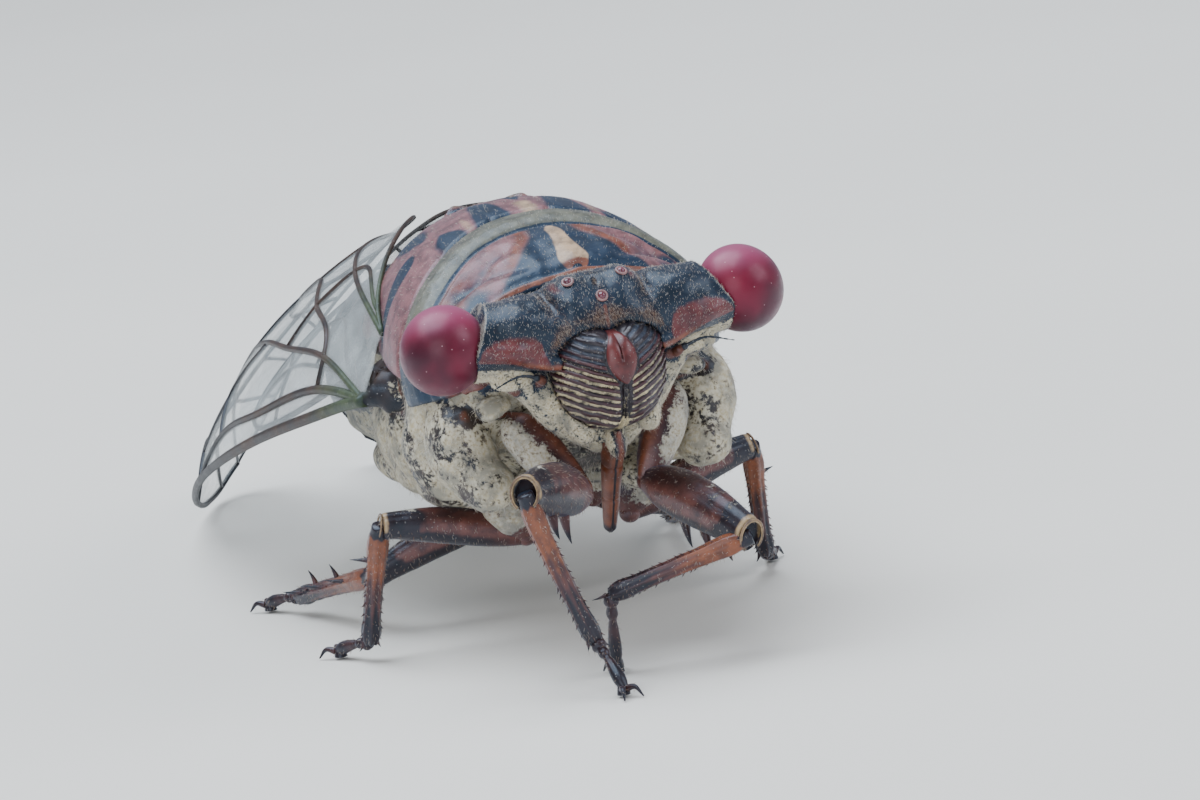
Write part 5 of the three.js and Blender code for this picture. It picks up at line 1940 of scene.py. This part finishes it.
HINDWING_VEINS = (
    ("root c1 c2 c3 c4 tip o1 o2 o3 o4 o5 hinge", 0.14, 0.07),
    ("root m1 m2 c4", 0.12, 0.07),
    ("root m4 m3 o2", 0.11, 0.06),
    ("m1 m4", 0.07, 0.07),
    ("m2 m3", 0.07, 0.07),
    ("m2 o1", 0.08, 0.06),
    ("m4 o4", 0.08, 0.06),
    ("m3 o3", 0.08, 0.06),
    ("c2 m2", 0.07, 0.07),
)


@dataclass
class Wing:
    """A folded wing: its film and its veins, drawn between named joints on the flat wing."""

    name: str
    joints: str
    veins: tuple[tuple[str, float, float], ...]
    front: str
    back: str
    depth: float
    film: float = 0.025
    roof: Roof = field(default_factory=Roof)

    def places(self) -> dict[str, Array]:
        """Returns the joints of the veins on the flat wing."""
        words = self.joints.split()
        rows = zip(words[::3], words[1::3], words[2::3])
        return {name: np.array([float(u), float(v)]) for name, u, v in rows}

    def vein_paths(self) -> list[tuple[Array, Array]]:
        """Returns each vein's flat path and its radius along it."""
        at = self.places()
        paths = []
        for names, thick, thin in self.veins:
            corners = [at[name] for name in names.split()]
            count = 10 * len(corners)
            paths.append((smooth_path(corners, count), np.linspace(thick, thin, count)))
        return paths

    def membrane(self, paths: list[tuple[Array, Array]]) -> Skin:
        """Returns the film, smokier beside its veins."""
        at = self.places()
        front = smooth_path([at[n] for n in self.front.split()], 200)
        back = smooth_path([at[n] for n in self.back.split()], 200)
        u = np.linspace(max(front[0, 0], back[0, 0]), min(front[-1, 0], back[-1, 0]) - 0.02, 170)[:, None]
        low, high = np.interp(u, front[:, 0], front[:, 1]), np.interp(u, back[:, 0], back[:, 1])
        v = low + (high - low) * np.linspace(0, 1, 56)[None, :]
        u = u + 0 * v
        flat = np.stack([u.ravel(), v.ravel(), 0 * v.ravel()], axis=1)
        pucker = 0.10 * wobble(flat, 0.12, 101, 3).reshape(v.shape)
        vein_points = np.concatenate([path for path, _ in paths])
        near = np.full(u.size, 9.0)
        for chunk in np.array_split(vein_points, 12):
            gap = np.hypot(flat[:, :1] - chunk[:, 0], flat[:, 1:2] - chunk[:, 1])
            near = np.minimum(near, gap.min(axis=1))
        sag = 0.12 * step(0.2, 1.6, near).reshape(v.shape) + pucker * step(0.0, 0.8, near).reshape(v.shape)
        faces = [self.roof.lay(u, v, self.depth + sag + side * self.film) for side in (-1, 1)]
        index = np.arange(u.size).reshape(u.shape)
        a = np.stack([index[:-1, :-1], index[:-1, 1:], index[1:, 1:], index[1:, :-1]], axis=-1).reshape(-1, 4)
        rim = np.concatenate([index[0, :], index[1:, -1], index[-1, -2::-1], index[-2:0:-1, 0]])
        ahead = np.roll(rim, -1)
        walls = np.stack([rim, ahead, ahead + u.size, rim + u.size], axis=1)
        quads = np.concatenate([a[:, ::-1], a + u.size, walls])
        smoke = np.tile(step(0.35, 0.05, near) * 0.4, 2)
        return Skin(np.stack(faces).reshape(-1, 3), quads, masks={"smoke": smoke})

    def ribs(self, paths: list[tuple[Array, Array]]) -> Skin:
        """Returns the veins as tapering ribs."""
        parts = []
        for path, radius in paths:
            rib = tube(self.roof.lay(path[:, 0], path[:, 1], self.depth), radius, 10)
            base = np.append(np.repeat(path[:, 0], 10), [path[0, 0], path[-1, 0]])
            rib.masks.update(
                green=0.75 * step(7.0, 1.5, base),
                dark=0.8 * step(8.0, 24.0, base),
                wax=rib.even(0.0),
            )
            parts.append(rib)
        return joined(parts)

    def build(self) -> None:
        """Makes the wing on both sides of the body."""
        paths = self.vein_paths()
        film, ribs = self.membrane(paths), self.ribs(paths)
        for name, side in SIDES:
            node = f"{self.name}_{name}"
            make_piece(f"{self.name}_film_{name}", film.on_side(side), MEMBRANE_FINISH, [node])
            make_piece(f"{self.name}_veins_{name}", ribs.on_side(side), VEIN_FINISH)


@dataclass
class WingRoots:
    """The knuckled plates that carry each front wing, green at the leading edge."""

    def build(self) -> None:
        """Makes both roots."""
        clay = Clay((3.9, 7.2, -4.6), (8.4, 12.4, -0.2), 0.09)
        for a, b, first, last in (
            ((5.5, 8.2, -2.2), (6.5, 8.9, -2.75), 0.5, 0.42),
            ((6.3, 8.5, -2.9), (7.15, 9.3, -3.0), 0.4, 0.34),
            ((6.2, 8.9, -2.3), (6.55, 10.2, -2.4), 0.4, 0.26),
            ((5.5, 9.2, -1.6), (6.5, 9.5, -2.1), 0.4, 0.3),
            ((5.5, 9.7, -1.3), (5.9, 11.2, -1.2), 0.42, 0.3),
            ((5.5, 7.9, -3.1), (6.3, 8.4, -3.3), 0.45, 0.3),
        ):
            clay.join(rod_distance(clay.p, a, b, first, last), 0.3)
        clay.carve(rod_distance(clay.p, (6.9, 9.0, -2.4), (5.9, 9.1, -1.8), 0.12, 0.08), 0.1)
        skin = clay.fired()
        p = skin.points
        skin.push(0.07 * wobble(p, 0.7, 111, 3))
        skin.masks.update(
            green=0.8 * bump(np.linalg.norm(p - [7.2, 9.3, -3.0], axis=1), 0.0, 0.8),
            dark=np.clip(wobble(p, 0.35, 112) + 0.1, 0, 0.8),
            wax=np.clip(0.55 - 0.5 * wobble(p, 0.5, 113, 3), 0, 0.8) * step(6.9, 6.1, p[:, 0]),
        )
        for name, side in SIDES:
            make_piece(f"wing_root_{name}", skin.on_side(side), VEIN_FINISH)


# The studio


@dataclass
class Studio:
    """A pale floor, soft lights and the camera."""

    azimuth: float = math.radians(-17)
    elevation: float = math.radians(10.5)
    roll: float = math.radians(9)
    lens: float = 178.0
    sensor: float = 36.0
    picture: tuple[int, int] = (1200, 800)
    eyes_at: tuple[float, float] = (594.0, 317.0)
    pixels_per_mm: float = 26.0
    reach: float = 12.0

    def camera(self) -> None:
        """Places the camera so that the eyes fall where they should in the picture."""
        a, e = self.azimuth, self.elevation
        right = Vector((math.cos(a), math.sin(a), 0))
        back = Vector((math.sin(a) * math.cos(e), -math.cos(a) * math.cos(e), math.sin(e)))
        up = back.cross(right)
        x = right * math.cos(self.roll) - up * math.sin(self.roll)
        y = right * math.sin(self.roll) + up * math.cos(self.roll)
        distance = self.lens / self.sensor * self.picture[0] / self.pixels_per_mm
        off_x = (self.eyes_at[0] - self.picture[0] / 2) / self.pixels_per_mm
        off_y = (self.picture[1] / 2 - self.eyes_at[1]) / self.pixels_per_mm
        place = Vector(ORIGIN.tolist()) + (back * distance - x * off_x - y * off_y) * MM
        data = bpy.data.cameras.new("camera")
        data.lens, data.sensor_width, data.sensor_fit = self.lens, self.sensor, "HORIZONTAL"
        data.clip_start, data.clip_end = 0.005, 20.0
        camera = bpy.data.objects.new("camera", data)
        turn = Matrix((x, y, back)).transposed().to_4x4()
        camera.matrix_world = Matrix.Translation(place) @ turn
        bpy.context.scene.collection.objects.link(camera)
        bpy.context.scene.camera = camera

    def lamp(self, name: str, place: Point, size: float, watts: float, colour: Colour) -> None:
        """Hangs a square softbox that faces the animal."""
        data = bpy.data.lights.new(name, "AREA")
        data.size, data.energy, data.color = size, watts, colour
        lamp = bpy.data.objects.new(name, data)
        lamp.location = place
        way = Vector((0.0, -0.012, 0.01)) - Vector(place)
        lamp.rotation_euler = way.to_track_quat("-Z", "Y").to_euler()
        bpy.context.scene.collection.objects.link(lamp)

    def floor(self) -> None:
        """Lays the floor."""
        mesh = bpy.data.meshes.new("floor")
        corners = [(x * self.reach, y * self.reach, 0.0) for x, y in ((-1, -1), (1, -1), (1, 1), (-1, 1))]
        mesh.from_pydata(corners, [], [(0, 1, 2, 3)])
        mesh.materials.append(FloorFinish("studio floor").material())
        floor = bpy.data.objects.new("floor", mesh)
        bpy.context.scene.collection.objects.link(floor)

    def build(self) -> None:
        """Sets up the whole studio."""
        self.camera()
        self.floor()
        world = bpy.data.worlds.new("studio air")
        bpy.context.scene.world = world
        world.use_nodes = True
        background = world.node_tree.nodes["Background"]
        background.inputs[0].default_value = (0.80, 0.87, 1.0, 1.0)
        background.inputs[1].default_value = 0.38
        self.lamp("overhead", (-0.10, 0.06, 0.42), 0.42, 3.6, (0.88, 0.94, 1.0))
        self.lamp("front", (-0.24, -0.38, 0.16), 0.30, 0.8, (1.0, 0.97, 0.93))
        self.lamp("far side", (0.30, -0.24, 0.24), 0.26, 0.9, (0.95, 0.97, 1.0))


def grow_hairs(head: Skin, plate: Skin, shields: Sequence[Skin], under: Skin, legs: Skin) -> None:
    """Grows the bristles on every part that has them.

    Args:
        head: The head's skin.
        plate: The face plate's skin.
        shields: The skins of the two shields.
        under: The skin of the thorax's underside.
        legs: The skin of all six legs.
    """
    rear = step(1.4, 1.1, head.points[:, 1])
    gold = np.clip(head.masks["gold"] * 3.0, 0, 3)
    low = head.masks["wax"]
    bare, seam = rear * (1 - 0.6 * low), rear * head.masks["seam"]
    ribs = step(-3.0, -1.0, plate.points[:, 2]) + 0.4
    face = [
        Hairs(201, 9000, 0.006, (0.06, 0.13), (0.0, 0.2, 1.0), 0.35, 0.85).grow(head, bare),
        Hairs(202, 1700, 0.006, (0.08, 0.22), (0.0, -0.6, -0.3), 0.5, 0.35).grow(head, gold * rear),
        Hairs(203, 1800, 0.007, (0.08, 0.22), (0.0, -0.2, -1.0), 0.5, 0.7).grow(head, low * rear),
        Hairs(204, 900, 0.006, (0.05, 0.1), (0.0, 0.0, -1.0), 0.5, 0.5).grow(plate, ribs),
        Hairs(205, 160, 0.006, (0.05, 0.12), (0.0, -0.2, 0.6), 0.6, 0.7).grow(head, seam),
    ]
    make_piece("face_hairs", joined(face), HAIR_FINISH, coat=True)
    back = []
    for seed, skin in enumerate(shields, 210):
        seen = step(-3.0, -1.0, skin.points[:, 2])
        down = Hairs(seed, 3600, 0.007, (0.06, 0.14), (0.0, 0.55, -0.3), 0.4, 0.75)
        back.append(down.grow(skin, seen))
    make_piece("shield_hairs", joined(back), HAIR_FINISH, coat=True)
    outer = step(-1.4, -2.6, under.points[:, 2]) + 0.1
    fleece = Hairs(220, 7000, 0.008, (0.12, 0.4), (0.0, 0.3, -0.8), 0.45, 0.85).grow(under, outer)
    make_piece("underside_hairs", fleece, HAIR_FINISH, coat=True)
    bristles = Hairs(230, 6500, 0.008, (0.08, 0.2), (0.0, -0.1, -1.0), 0.55, 0.45).grow(legs, legs.even(1.0))
    bristles.points[:, 2] = np.maximum(bristles.points[:, 2], FLOOR + 0.02)
    make_piece("leg_hairs", bristles, HAIR_FINISH, coat=True)


def main() -> None:
    """Builds the animal piece by piece, then the studio."""
    logging.basicConfig(level=logging.INFO, format="%(name)s: %(message)s")
    Studio().build()
    head = Head().build()
    plate = FacePlate().build()
    Eyes().build()
    Feelers().build()
    Beak().build()
    shields = [Pronotum().build(), Mesonotum().build()]
    under = Underside().build()
    Abdomen().build()
    legs = joined([leg.build() for leg in six_legs()])
    front, back = "root c1 c2 c3 node c4 c5 c6 c7 tip", "hinge i4 i3 i2 i1 anal o7 o6 o5 o4 o3 o2 o1 tip"
    Wing("forewing", FOREWING_JOINTS, FOREWING_VEINS, front, back, 0.0).build()
    front, back = "root c1 c2 c3 c4 tip", "hinge o5 o4 o3 o2 o1 tip"
    Wing("hindwing", HINDWING_JOINTS, HINDWING_VEINS, front, back, 1.45).build()
    WingRoots().build()
    grow_hairs(head, plate, shields, under, legs)


if __name__ == "__main__":
    main()
